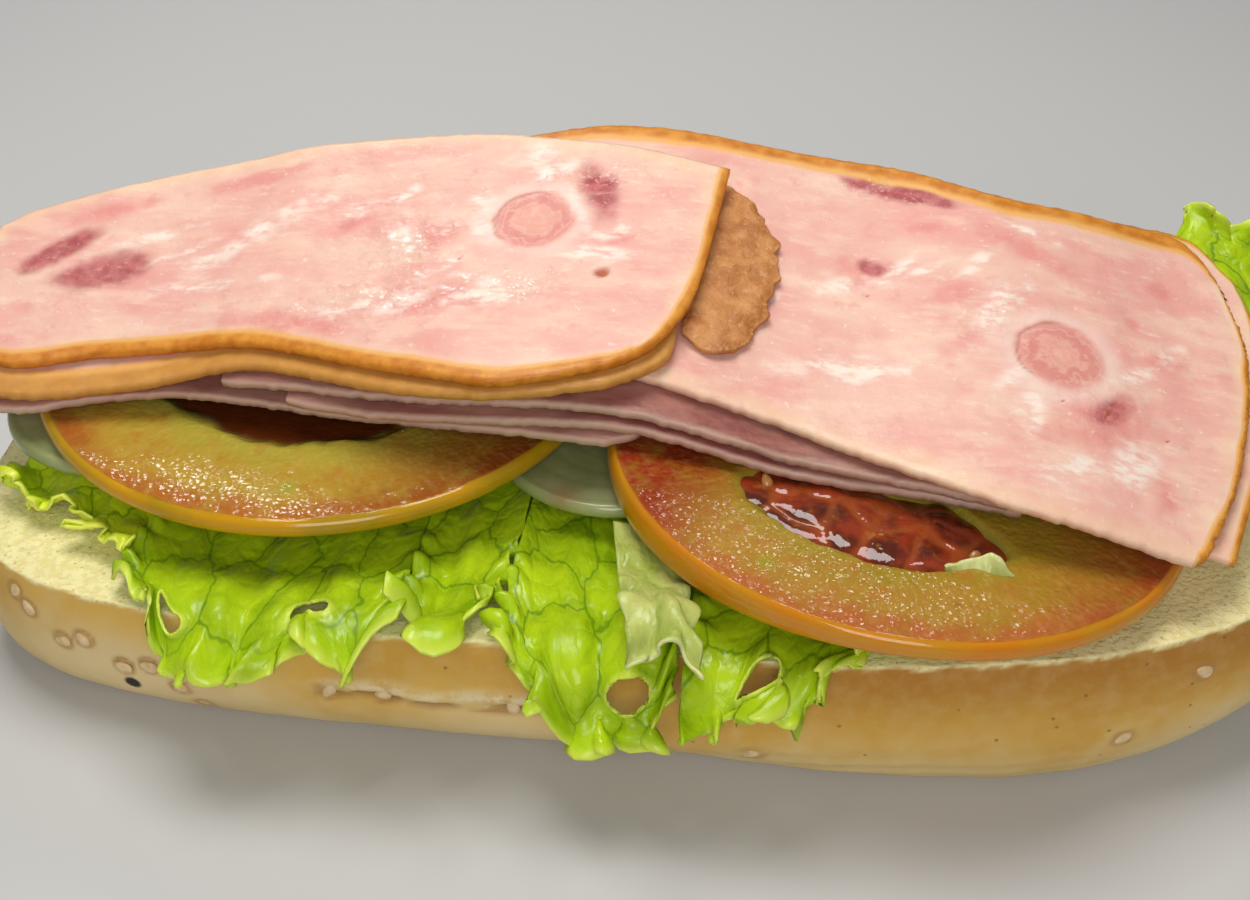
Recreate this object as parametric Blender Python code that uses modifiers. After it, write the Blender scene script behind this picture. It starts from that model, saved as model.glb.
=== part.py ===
"""Open ham sandwich: the bottom half of a long sesame roll, lettuce, onion, two tomato
slices and layers of sliced ham. Metres, +Z up. X runs along the roll and -Y is the front.
The origin is on the flat underside of the bread, below its middle."""

import math
import random

import bmesh
import bpy
from mathutils import Quaternion, Vector, noise

MM = 0.001

# Driving dimensions of the roll, in millimetres
ROLL_HALF_LENGTH = 96.0
ROLL_HALF_WIDTH = 42.0
ROLL_FRONT_BELLY = 3.9  # the front bulges this much more near each end than in the middle
CRUMB_HEIGHT_LEFT = 22.0
CRUMB_HEIGHT_MIDDLE = 23.8
CRUMB_HEIGHT_RIGHT = 27.6
ROUNDNESS_LEFT = 3.7  # exponents of the plan outline: 2 is an ellipse, more is squarer
ROUNDNESS_RIGHT_FRONT = 2.25
ROUNDNESS_RIGHT_BACK = 3.2
UNDERSIDE_INSET = [(-96.0, 3.0), (-66.0, 15.5), (0.0, 15.5), (60.0, 10.3)]  # (x, inset)
CUT_EDGE_INSET = 1.6
BELLY = 0.49  # height of the widest line of the crust, as a share of the crumb height
END_LIFT_FROM = 58.0  # beyond this distance from the middle the underside curves up
END_LIFT_LEFT = 2.5
END_LIFT_RIGHT = 4.8
CRUMB_UNEVENNESS = 0.35
SEED_LENGTH = 3.0
SEED_WIDTH = 2.0
SEED_DEPTH = 0.9

# Fillings, in millimetres
GAP = 0.4  # free space kept between pieces that touch
LEAF_THICKNESS = 0.7
LEAF_REST = 1.3  # height of a leaf's middle above the crumb
CLOSER_OUTWARDS = 0.6  # power that sets a front leaf's rows closer towards its free edge
ONION_THICKNESS = 2.2
ONION_RADIUS = 17.2
HAM_THICKNESS = 1.65
HAM_PITCH = 2.05
TOMATO_LEFT_THICKNESS = 2.9
TOMATO_RIGHT_THIN = 3.0
TOMATO_RIGHT_THICK = 5.8
HAM_REST_FRONT = -15.0  # the front line on which the ham rests on the tomatoes
HAM_SLOPE = 0.207  # rise of the ham towards the back


def ramp(value, low, high):
    """Smooth step from 0 at low to 1 at high."""
    t = min(max((value - low) / (high - low), 0.0), 1.0)
    return t * t * (3 - 2 * t)


def between(value, stops):
    """Smoothly interpolated height through (place, height) stops."""
    for (a, za), (b, zb) in zip(stops, stops[1:]):
        if value <= b:
            return za + (zb - za) * ramp(value, a, b)
    return stops[-1][1]


def smooth_curve(points):
    """A function of 0..1 that runs smoothly through the points."""
    lengths = [0.0]
    for a, b in zip(points, points[1:]):
        lengths.append(lengths[-1] + (Vector(b) - Vector(a)).length)
    places = [Vector(p) for p in points]
    last = len(places) - 1

    def tangent(i):
        if i in (0, last):
            near = 1 if i == 0 else last - 1
            outwards = 1 if i == 0 else -1
            return (places[near] - places[i]) * outwards / abs(lengths[near] - lengths[i])
        return (places[i + 1] - places[i - 1]) / (lengths[i + 1] - lengths[i - 1])

    def at(t):
        want = t * lengths[-1]
        i = 0
        while i < last - 1 and want > lengths[i + 1]:
            i += 1
        span = lengths[i + 1] - lengths[i]
        q = (want - lengths[i]) / span
        a = places[i] * (2 * q**3 - 3 * q**2 + 1) + places[i + 1] * (3 * q**2 - 2 * q**3)
        return a + (tangent(i) * (q**3 - 2 * q**2 + q) + tangent(i + 1) * (q**3 - q**2)) * span

    return at


def patch(front, back, left, right):
    """A function of (u, v) in 0..1 that fills four edge curves. front and back run left to
    right, left and right run front to back, and their ends meet."""
    f, b, l, r = (smooth_curve(points) for points in (front, back, left, right))

    def at(u, v):
        corners = f(0) * (1 - u) * (1 - v) + f(1) * u * (1 - v) + b(0) * (1 - u) * v + b(1) * u * v
        return f(u) * (1 - v) + b(u) * v + l(v) * (1 - u) + r(v) * u - corners

    return at


# The roll


def crumb_height(x, y):
    """Height of the cut face. It slopes up to the right and is a little hollow."""
    t = x / ROLL_HALF_LENGTH
    tilt = (CRUMB_HEIGHT_RIGHT - CRUMB_HEIGHT_LEFT) / 2 * t
    bow = (CRUMB_HEIGHT_LEFT + CRUMB_HEIGHT_RIGHT) / 2 - CRUMB_HEIGHT_MIDDLE
    return CRUMB_HEIGHT_MIDDLE + tilt + bow * t * t - 0.5 * math.cos(y / ROLL_HALF_WIDTH * math.pi / 2)


def roundness(x, side):
    if x < 0:
        return ROUNDNESS_LEFT
    return ROUNDNESS_RIGHT_FRONT if side < 0 else ROUNDNESS_RIGHT_BACK


def roll_width(x, side):
    """Half width of the roll at x, to the front for side -1 and to the back for side 1."""
    t = min(abs(x) / ROLL_HALF_LENGTH, 1.0)
    power = roundness(x, side)
    width = ROLL_HALF_WIDTH
    if side < 0:
        width += ROLL_FRONT_BELLY * (t * t - 0.35)
    return width * (1 - t**power) ** (1 / power)


def underside_lift(x):
    most = END_LIFT_RIGHT if x > 0 else END_LIFT_LEFT
    t = max(abs(x) - END_LIFT_FROM, 0.0) / (ROLL_HALF_LENGTH - END_LIFT_FROM)
    return most * t * t


def crust_profile(x, t):
    """(inset, share of height) up the crust, from the underside at 0 to the cut edge at 1."""
    if t < 0.5:
        turn = t * math.pi
        return between(x, UNDERSIDE_INSET) * (1 - math.sin(turn)), BELLY * (1 - math.cos(turn))
    rise = (t - 0.5) / 0.5
    return CUT_EDGE_INSET * rise**2.5, BELLY + (1 - BELLY) * rise


def roll_point(direction, rings, ring):
    """Place of one sphere vertex on the roll. Rings count from the underside to the top."""
    under, crust = 4, rings - 11
    angle = math.atan2(direction.y, direction.x)
    side = math.copysign(1, math.sin(angle))
    power = roundness(math.cos(angle), side)
    x = ROLL_HALF_LENGTH * math.copysign(abs(math.cos(angle)) ** (2 / power), math.cos(angle))
    y = side * roll_width(x, side)
    reach = math.hypot(x, y)
    if ring <= under:
        inset, share = crust_profile(x, 0)
        keep = (1 - inset / reach) * ring / under
    elif ring <= under + crust:
        inset, share = crust_profile(x, (ring - under) / crust)
        keep = 1 - inset / reach
    else:
        inset, share = crust_profile(x, 1)
        keep = (1 - inset / reach) * (rings - ring) / (rings - under - crust)
    x, y = x * keep, y * keep
    lift = underside_lift(x)
    z = lift + share * (crumb_height(x, y) - lift)
    if ring > under + crust:
        z += CRUMB_UNEVENNESS * noise.noise(Vector((x, y, 0)) * 0.16)
    return Vector((x, y, z)) * MM


def crust_place(x, share, side):
    """Point and outward direction on the front or back crust at a share of the height."""
    steps = [i / 60 for i in range(61)]
    t = min(steps, key=lambda s: abs(crust_profile(x, s)[1] - share))
    lift = underside_lift(x)

    def at(place_x, s):
        inset, high = crust_profile(x, s)
        y = side * (roll_width(place_x, side) - inset)
        return Vector((place_x, y, lift + high * (crumb_height(place_x, y) - lift)))

    along = at(x + 1, t) - at(x - 1, t)
    up = at(x, min(t + 0.03, 1)) - at(x, max(t - 0.03, 0))
    outward = along.cross(up).normalized()
    return at(x, t), outward if outward.y * side > 0 else -outward


# Heights of the fillings

TOMATO_LEFT = {"centre": (-48.5, 8.5), "radii": (42.3, 41.5), "turn": 0.0, "back": 0.74}
TOMATO_RIGHT = {"centre": (35.8, -7.5), "radii": (39.6, 36.0), "turn": -0.13, "back": 1.0}
ONION_LEFT = (-75.0, -4.5, 29.2)  # centre and height of the underside
ONION_MIDDLE = (-3.5, -2.5, 28.9)
PALE_LEAF_HEIGHT = 30.4


def tomato_left_top(x, y):
    return 35.4 + 0.03 * (y - TOMATO_LEFT["centre"][1])


def tomato_left_depth(x, y):
    return TOMATO_LEFT_THICKNESS


def tomato_right_top(x, y):
    cx, cy = TOMATO_RIGHT["centre"]
    return 34.7 - 0.08 * (x - cx) - 0.01 * (y - cy)


def tomato_right_depth(x, y):
    """The slice is a wedge, thick at its left end."""
    across = (x - TOMATO_RIGHT["centre"][0]) / TOMATO_RIGHT["radii"][0]
    return TOMATO_RIGHT_THIN + (TOMATO_RIGHT_THICK - TOMATO_RIGHT_THIN) * ramp(-across, -0.2, 1.0)


def outside(disc, x, y):
    """How far (x, y) is outside the disc's outline, and 0 inside it."""
    cx, cy = disc["centre"]
    turn = disc["turn"]
    a = (x - cx) * math.cos(turn) + (y - cy) * math.sin(turn)
    b = (y - cy) * math.cos(turn) - (x - cx) * math.sin(turn)
    rx, ry = disc["radii"]
    if b > 0:
        ry *= disc["back"]
    share = math.hypot(a / rx, b / ry)
    return max(share - 1, 0) * math.hypot(a, b) / max(share, 0.001)


def front_ceiling(x, y):
    """The lower lettuce stays under this: onion, tomatoes and the pale leaf, and rising away
    from their outlines."""
    steep = 1.3
    left = tomato_left_top(x, y) - TOMATO_LEFT_THICKNESS - ONION_THICKNESS - 2 * GAP
    left += steep * outside(TOMATO_LEFT, x, y)
    right = tomato_right_top(x, y) - tomato_right_depth(x, y) - GAP
    right += steep * outside(TOMATO_RIGHT, x, y)
    ceiling = min(left, right)
    for ox, oy, under in (ONION_LEFT, ONION_MIDDLE):
        away = math.hypot(x - ox, y - oy) - ONION_RADIUS
        ceiling = min(ceiling, under - GAP + steep * max(away, 0))
    if y < -18:
        away = max(-6.0 - x, x - 18.0, 0)
        ceiling = min(ceiling, PALE_LEAF_HEIGHT - 2.5 * GAP + steep * away)
    return ceiling


def back_floor(x, y):
    """The back lettuce stays above this: the crumb and, sloping off their outlines, the tomatoes."""
    steep, rim = 2.4, 1.2
    floor = crumb_height(x, y)
    for disc, top in ((TOMATO_LEFT, tomato_left_top), (TOMATO_RIGHT, tomato_right_top)):
        away = outside(disc, x, y)
        floor = max(floor, top(x, y) - steep * max(away - rim, 0))
    return floor + 1.5 * GAP


def ham_rest(x, y):
    """Height of the underside of the lowest ham layer."""
    front = between(
        x,
        [(-100, 35.9), (-50, 36.1), (-3, 38.4), (36, 36.0), (76, 33.6), (95, 32.8)],
    )
    wave = 0.5 * math.sin(x / 17.0 + 0.6) * ramp(y, -5, 25)
    return front + HAM_SLOPE * (y - HAM_REST_FRONT) + wave


# Building blocks


def collection_named(name, shown=True):
    made = bpy.data.collections.new(name)
    made.hide_render = not shown
    bpy.context.scene.collection.children.link(made)
    return made


def material(name, colour, roughness):
    made = bpy.data.materials.new(name)
    made.use_nodes = True
    shader = made.node_tree.nodes["Principled BSDF"]
    shader.inputs["Base Color"].default_value = (*colour, 1)
    shader.inputs["Roughness"].default_value = roughness
    shader.inputs["Metallic"].default_value = 0
    return made


def object_from(name, build, look, collection):
    mesh = bpy.data.meshes.new(name)
    shape = bmesh.new()
    build(shape)
    bmesh.ops.recalc_face_normals(shape, faces=shape.faces)
    shape.to_mesh(mesh)
    shape.free()
    mesh.materials.append(look)
    mesh.shade_smooth()
    made = bpy.data.objects.new(name, mesh)
    collection.objects.link(made)
    return made


def sheet(name, across, along, place, thickness, look, collection):
    """A thin solid: a grid laid out by place(u, v), split alike on both faces and thickened."""

    def build(shape):
        bmesh.ops.create_grid(shape, x_segments=across, y_segments=along, size=0.5)
        for vert in shape.verts:
            vert.co = place(vert.co.x + 0.5, vert.co.y + 0.5) * MM
        bmesh.ops.triangulate(shape, faces=shape.faces)

    made = object_from(name, build, look, collection)
    solid = made.modifiers.new("Thickness", "SOLIDIFY")
    solid.thickness = thickness * MM
    solid.offset = 0
    return made


def ball_rings(shape, around, rings):
    """A sphere's vertices with their ring numbers, 0 at the bottom pole."""
    bmesh.ops.create_uvsphere(shape, u_segments=around, v_segments=rings, radius=1)
    return [(v, round(math.acos(max(-1, min(1, -v.co.z))) / math.pi * rings)) for v in shape.verts]


def slice_object(name, disc, top, depth, relief, around, faces, look, collection):
    """A round slice with rounded skin. relief(share, angle) is cut into its top.
    faces is how many rings of faces its flat sides have."""
    rim = 3
    rings = 2 * faces + rim
    rx, front_ry = disc["radii"]
    turn = disc["turn"]
    cx, cy = disc["centre"]

    def place(angle, share, high):
        ry = front_ry * disc["back"] if math.sin(angle) > 0 else front_ry
        a = rx * share * math.cos(angle)
        b = ry * share * math.sin(angle)
        x = cx + a * math.cos(turn) - b * math.sin(turn)
        y = cy + a * math.sin(turn) + b * math.cos(turn)
        z = top(x, y) - depth(x, y) * (1 - high)
        if high == 1:
            z -= relief(share, angle)
        return Vector((x, y, z)) * MM

    def build(shape):
        for vert, ring in ball_rings(shape, around, rings):
            angle = math.atan2(vert.co.y, vert.co.x)
            if ring <= faces:
                vert.co = place(angle, 0.985 * ring / faces, 0)
            elif ring >= faces + rim:
                vert.co = place(angle, 0.985 * (rings - ring) / faces, 1)
            else:
                bend = (ring - faces) / rim
                vert.co = place(angle, 0.985 + 0.015 * math.sin(bend * math.pi), bend)

    return object_from(name, build, look, collection)


def apply_modifiers(made):
    bpy.context.view_layer.update()
    graph = bpy.context.evaluated_depsgraph_get()
    mesh = bpy.data.meshes.new_from_object(made.evaluated_get(graph))
    made.modifiers.clear()
    made.data = mesh


# Bread


def seed_places():
    """(x, share of the height, side) of each seed: those that show in front, then a sparse
    scatter on the back."""
    front = [
        (-75.0, 0.59), (-71.5, 0.66), (-82.0, 0.84), (-80.0, 0.77), (-62.0, 0.56), (-55.5, 0.25),
        (-36.5, 0.56), (-29.0, 0.58), (-15.5, 0.60), (-11.5, 0.57), (77.0, 0.76),
    ]
    draw = random.Random(5)
    back = [(draw.uniform(-80, 78), draw.uniform(0.2, 0.75)) for _ in range(9)]
    return [(x, share, -1) for x, share in front] + [(x, share, 1) for x, share in back]


def make_bread(look, collection):
    around, rings = 48, 18

    def build(shape):
        for vert, ring in ball_rings(shape, around, rings):
            vert.co = roll_point(vert.co.copy(), rings, ring)

    def build_seed(shape):
        bmesh.ops.create_uvsphere(shape, u_segments=6, v_segments=4, radius=0.5)

    roll = object_from("bread_base", build, look, collection)
    seeds = collection_named("seeds", shown=False)
    draw = random.Random(8)
    for number, (x, share, side) in enumerate(seed_places()):
        place, outward = crust_place(x, share, side)
        seed = object_from(f"seed_{number}", build_seed, look, seeds)
        seed.scale = (SEED_WIDTH * MM, SEED_LENGTH * MM, SEED_DEPTH * MM)
        spin = Quaternion(outward, draw.uniform(0, math.pi))
        seed.rotation_mode = "QUATERNION"
        seed.rotation_quaternion = spin @ outward.to_track_quat("Z", "Y")
        seed.location = (place + outward * 0.1) * MM
    union = roll.modifiers.new("Seeds", "BOOLEAN")
    union.operation = "UNION"
    union.operand_type = "COLLECTION"
    union.collection = seeds
    apply_modifiers(roll)
    for seed in list(seeds.objects):
        bpy.data.objects.remove(seed)
    bpy.data.collections.remove(seeds)


# Lettuce


def hang(x, out, side, gap):
    """Point and outward direction on a sheet that lies on the crumb and hangs over the cut
    edge. out is the distance from the middle line, measured along the sheet."""
    bend = 5.5
    lean = math.radians(80)
    stand_off = 3.5 + gap
    edge = roll_width(x, side) - CUT_EDGE_INSET
    turn_at = edge + stand_off - bend
    top = crumb_height(x, side * min(out, edge)) + gap
    if out <= turn_at:
        return Vector((x, side * out, top)), Vector((0, 0, 1))
    turned = min((out - turn_at) / bend, lean)
    rest = out - turn_at - bend * turned
    y = turn_at + bend * math.sin(turned) + rest * math.cos(lean)
    z = top - bend * (1 - math.cos(turned)) - rest * math.sin(lean)
    return Vector((x, side * y, z)), Vector((0, side * math.sin(turned), math.cos(turned)))


def wavy(u, v, waves, phase):
    """Height of a leaf's ruffles at (u, v), 0 to 1, with folds of uneven width."""
    uneven = u + 0.05 * math.sin(9 * u + phase) + 0.02 * math.sin(23 * u + 2 * phase)
    return 0.5 + 0.5 * math.sin(2 * math.pi * waves * uneven + phase + 1.1 * math.sin(3.4 * v + phase))


def front_leaf(left, right, inner, reach, frill, waves, phase):
    """place(u, v) for a leaf that hangs over the front. left and right are (inner, outer) x,
    inner is how far forward the hidden edge starts, reach gives how far the free edge goes
    past the cut edge, and frill is the height of its ruffles."""

    def place(u, v):
        x = (left[0] + (right[0] - left[0]) * u) * (1 - v) + (left[1] + (right[1] - left[1]) * u) * v
        end = roll_width(x, -1) - CUT_EDGE_INSET + between(u, reach)
        out = inner + (end - inner) * v**CLOSER_OUTWARDS
        point, up = hang(x, out, -1, LEAF_REST)
        point += up * frill * (0.5 + 0.5 * v) * wavy(u, v, waves, phase)
        if up.z > 0.3:
            lowest = hang(x, out, -1, LEAF_REST)[0].z
            point.z = max(min(point.z, front_ceiling(x, point.y) - LEAF_THICKNESS / 2), lowest)
        return point

    return place


FRONT_LEAVES = {
    "lettuce_far_left": {
        "left": (-86.0, -90.0), "right": (-67.0, -67.5), "inner": -15.0,
        "reach": [(0, -6.0), (0.5, -8.0), (1, -4.0)], "frill": 6.0, "waves": 2.6, "phase": 0.5,
        "grid": (16, 7),
    },
    "lettuce_left": {
        "left": (-65.6, -66.0), "right": (-28.4, -27.6), "inner": -27.0,
        "reach": [(0, 0.0), (0.14, 4.0), (0.28, 9.6), (0.55, 9.6), (0.74, 5.0), (0.9, 7.5), (1, 3.0)],
        "frill": 3.6, "waves": 3.6, "phase": 1.0, "grid": (24, 9),
    },
    "lettuce_left_ruffle": {
        "left": (-27.3, -26.5), "right": (-14.8, -14.6), "inner": -22.0,
        "reach": [(0, 1.0), (0.55, 4.5), (1, -2.0)], "frill": 5.0, "waves": 1.8, "phase": 2.0,
        "grid": (12, 8),
    },
    "lettuce_middle": {
        "left": (-13.6, -13.6), "right": (8.6, 9.6), "inner": -25.0,
        "reach": [(0, 3.0), (0.25, 9.0), (0.5, 16.5), (0.9, 15.0), (1, 9.0)],
        "frill": 4.2, "waves": 2.8, "phase": 0.2, "grid": (20, 11),
    },
    "lettuce_right": {
        "left": (10.2, 11.2), "right": (56.0, 36.0), "inner": -18.0,
        "reach": [(0, 12.0), (0.2, 13.0), (0.38, 8.0), (0.55, 9.5), (0.8, 3.5), (1, -2.0)],
        "frill": 3.6, "waves": 3.4, "phase": 2.4, "grid": (24, 9),
    },
}


def pale_leaf(u, v):
    """A smooth piece of pale lettuce that comes out from under the right tomato and arches
    over the front leaves."""
    x = -1.0 + 9.0 * u + 6.0 * v
    y = -21.8 - (27.0 - 3.0 * math.sin(math.pi * u)) * v
    arch = (1.6 + 1.4 * math.sin(math.pi * u)) * ramp(v, 0.4, 0.8)
    droop = 3.2 * ramp(v, 0.7, 1.0) * (1 - 0.5 * u)
    return Vector((x, y, PALE_LEAF_HEIGHT + arch - droop))


def back_leaf(left, right, waves, phase, stands_from):
    """place(u, v) for a leaf that lies between the tomatoes and the ham and comes out over
    the back. Right of stands_from its edge stands up behind the ham."""
    behind_ham = 37.0
    stand_length = 13.0

    def place(u, v):
        x = left + (right - left) * u
        edge = roll_width(x, 1) - CUT_EDGE_INSET
        start = 3.0 + 6.0 * math.sin(math.pi * u)
        end = edge + 6.5 + 2.0 * math.sin(2 * math.pi * waves * u / 3 + phase)
        wave = wavy(u, v, waves, phase)

        out = start + (end - start) * v
        point = hang(x, out, 1, LEAF_REST)[0]
        floor = back_floor(x, point.y) + LEAF_THICKNESS / 2
        under_ham = ham_rest(x, min(point.y, behind_ham)) - GAP - LEAF_THICKNESS
        ceiling = max(under_ham, floor)
        free = ramp(point.y, behind_ham + 1, behind_ham + 6)
        inside = floor + (ceiling - floor) * (0.1 + 0.85 * wave)
        beyond = max(point.z, floor) + 3.5 * wave
        lying = Vector((x, point.y + 3.0 * wave * free, inside * (1 - free) + beyond * free))

        out = start + (behind_ham + stand_length - start) * v
        behind = max(out - behind_ham, 0)
        y = min(out, behind_ham) + (0.35 + 0.4 * wave) * behind
        top = ham_rest(x, min(out, behind_ham)) - 2 * GAP - LEAF_THICKNESS
        z = top + (0.45 + 0.2 * math.sin(11 * u)) * behind - 2.0 * wave * (1 - min(behind, 1))
        standing = Vector((x, y, z))
        return lying.lerp(standing, ramp(x, stands_from, stands_from + 6))

    return place


def make_lettuce(look, pale_look, collection):
    for name, leaf in FRONT_LEAVES.items():
        shape = {key: value for key, value in leaf.items() if key != "grid"}
        sheet(name, *leaf["grid"], front_leaf(**shape), LEAF_THICKNESS, look, collection)
    sheet("lettuce_pale", 8, 9, pale_leaf, LEAF_THICKNESS, pale_look, collection)
    nowhere = 2 * ROLL_HALF_LENGTH
    left = back_leaf(-84.0, 20.0, 6.5, 0.4, nowhere)
    sheet("lettuce_back_left", 26, 6, left, LEAF_THICKNESS, look, collection)
    right = back_leaf(22.0, 89.0, 5.3, 1.7, 72.0)
    sheet("lettuce_back_right", 22, 8, right, LEAF_THICKNESS, look, collection)


# Onion and tomato


def no_relief(share, angle):
    return 0.0


def locules(count, turn, inner, outer, depth):
    """Relief of a tomato slice: seed chambers between the core, the outer wall and the ribs."""

    def relief(share, angle):
        rib = abs(math.sin((angle - turn) * count / 2))
        ring = ramp(share, inner, inner + 0.15) * (1 - ramp(share, outer - 0.1, outer + 0.05))
        return depth * ring * ramp(rib, 0.15, 0.5)

    return relief


def make_onion(look, collection):
    for name, (x, y, under) in (("onion_left", ONION_LEFT), ("onion_middle", ONION_MIDDLE)):
        disc = {"centre": (x, y), "radii": (ONION_RADIUS, ONION_RADIUS), "turn": 0.0, "back": 1.0}

        def top(_x, _y, height=under + ONION_THICKNESS):
            return height

        def depth(_x, _y):
            return ONION_THICKNESS

        slice_object(name, disc, top, depth, no_relief, 20, 2, look, collection)


def make_tomatoes(look, collection):
    left_relief = locules(3, 1.4, 0.2, 0.62, 1.2)
    right_relief = locules(3, 1.1, 0.18, 0.66, 1.5)
    left = (TOMATO_LEFT, tomato_left_top, tomato_left_depth, left_relief)
    right = (TOMATO_RIGHT, tomato_right_top, tomato_right_depth, right_relief)
    for name, slice_shape in (("tomato_left", left), ("tomato_right", right)):
        slice_object(name, *slice_shape, 34, 6, look, collection)


# Ham

# Each slice: edge curves in plan, and how many slices lie under it at each x
HAM = {
    "ham_low_1": {
        "front": [(-96, -11), (-88, -17.2), (-74.7, -13.9), (-60.8, -11.8), (-31.6, -14), (-3, -16)],
        "back": [(-96, 9), (-72, 22), (-45, 28), (-10, 27.5), (1, 27)],
        "left": [(-96, -11), (-99, -1), (-96, 9)],
        "right": [(-3, -16), (1.7, -13), (1.5, 6), (1, 27)],
        "level": [(-100, 0), (10, 0)],
    },
    "ham_low_2": {
        "front": [(-47.5, -13.5), (-32, -15.3), (1.7, -15.3), (23, -16.7), (52, -18.2)],
        "back": [(-47.5, 29), (-20, 32), (3, 33), (30, 34), (52.5, 30)],
        "left": [(-47.5, -13.5), (-48.5, 8), (-47.5, 29)],
        "right": [(52, -18.2), (54.5, 5), (52.5, 30)],
        "level": [(-60, 1), (4, 1), (16, 0), (60, 0)],
    },
    "ham_low_3": {
        "front": [(-57, -12), (-32, -14), (1.6, -14.7), (23, -16.3), (50, -19.5)],
        "back": [(-57, 27), (-20, 34), (3, 35), (30, 36), (54, 31)],
        "left": [(-57, -12), (-59, 8), (-57, 27)],
        "right": [(50, -19.5), (56.5, 4), (54, 31)],
        "level": [(-60, 1), (-49, 2), (4, 2), (16, 1), (60, 1)],
    },
    "ham_right_under": {
        "front": [(46, -15), (64, -19), (79, -21.5)],
        "back": [(46, 34), (63, 36.5), (76, 37.8), (83, 29.5)],
        "left": [(46, -15), (44, 8), (46, 34)],
        "right": [(79, -21.5), (84, -2), (85.2, 20), (83, 29.5)],
        "level": [(40, 2), (57, 2), (77, 0), (90, 0)],
    },
    "ham_right_top": {
        "front": [(-27, -6), (2.3, -10.5), (22.6, -13.5), (48.4, -22.9), (61, -24.3), (74.5, -25)],
        "back": [
            (-27, 36), (-12, 39.3), (3, 39), (30, 39.4), (48, 33.7), (63, 34), (74.5, 34.4), (79.8, 28),
        ],
        "left": [(-27, -6), (-31, 15), (-27, 36)],
        "right": [(74.5, -25), (80.2, -9.6), (83.1, 12.4), (79.8, 28)],
        "level": [(-40, 3), (4, 3), (16, 2), (32, 2), (43, 3), (57, 3), (77, 1), (90, 1)],
    },
    "ham_left_under": {
        "front": [
            (-97, -12), (-87.5, -16.5), (-71, -14.3), (-52.7, -11.3), (-30, -16.9), (-16.5, -17.5),
            (1.4, -13.4),
        ],
        "back": [(-96, 10), (-72, 24.5), (-45, 30.5), (-10, 27.5), (3.8, 24)],
        "left": [(-97, -12), (-100, -2), (-96, 10)],
        "right": [(1.4, -13.4), (4.8, -7.5), (4.2, 4), (3.8, 24)],
        "level": [(-100, 1), (-72, 1), (-59, 2), (-49, 3), (-42, 3), (-31, 4), (10, 4)],
    },
    "ham_left_top": {
        "front": [
            (-97, -9), (-88, -13.2), (-74.8, -10.2), (-53, -9.4), (-30, -15.5), (-16.4, -17.3),
            (1.5, -12),
        ],
        "back": [(-98.5, 12.8), (-94, 16.9), (-72.4, 27.6), (-45, 33.1), (-10.7, 30), (8.9, 26)],
        "left": [(-97, -9), (-101, 1), (-98.5, 12.8)],
        "right": [(1.5, -12), (6.3, -0.7), (7.6, 8), (8.9, 26)],
        "level": [(-100, 2), (-72, 2), (-59, 3), (-49, 4), (-42, 4), (-31, 5), (10, 5)],
    },
}


def ham_slice(plan, lift=0.0, thickness=HAM_THICKNESS):
    """place(u, v) for one slice: its plan on the heap of slices under it."""
    outline = patch(plan["front"], plan["back"], plan["left"], plan["right"])

    def place(u, v):
        x, y = outline(u, v)
        level = between(x, plan["level"])
        return Vector((x, y, ham_rest(x, y) + level * HAM_PITCH + lift + thickness / 2))

    return place


def make_ham(look, scrap_look, collection):
    for name, plan in HAM.items():
        sheet(name, 20, 4, ham_slice(plan), HAM_THICKNESS, look, collection)
    scrap = {
        "front": [(5.6, -3.2), (9.5, -5.2), (13, -4)],
        "back": [(5.6, 23), (8.6, 27), (11.8, 25.5)],
        "left": [(5.6, -3.2), (5.4, 10), (5.6, 23)],
        "right": [(13, -4), (16.4, 4), (17, 16), (11.8, 25.5)],
        "level": [(0, 3), (4, 3), (16, 2), (32, 2)],
    }
    lift = HAM_PITCH
    sheet("ham_rind_scrap", 6, 8, ham_slice(scrap, lift, 1.2), 1.2, scrap_look, collection)


def main():
    for old in list(bpy.data.objects):
        bpy.data.objects.remove(old)
    sandwich = collection_named("ham_sandwich")
    bread = material("bread", (0.78, 0.55, 0.28), 0.6)
    lettuce = material("lettuce", (0.28, 0.52, 0.03), 0.35)
    pale_lettuce = material("pale_lettuce", (0.55, 0.66, 0.25), 0.35)
    onion = material("onion", (0.75, 0.78, 0.62), 0.3)
    tomato = material("tomato", (0.55, 0.2, 0.05), 0.2)
    ham = material("ham", (0.85, 0.5, 0.45), 0.4)
    rind = material("ham_rind", (0.6, 0.32, 0.13), 0.6)
    make_bread(bread, sandwich)
    make_lettuce(lettuce, pale_lettuce, sandwich)
    make_onion(onion, sandwich)
    make_tomatoes(tomato, sandwich)
    make_ham(ham, rind, sandwich)


main()
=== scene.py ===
# %% [markdown]
# # An open ham sandwich on half a long roll
# The real thing is food laid by hand: a bread base, frilly lettuce, onion, two tomato
# slices and a heap of thin ham. The measured solids are loaded as a fixed frame, and this
# script dresses each of them. Every piece is a fine mesh whose shape comes from the same
# named sizes as its solid, so that nothing shifts when detail is added.

# %% Load the frame
import math

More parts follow.
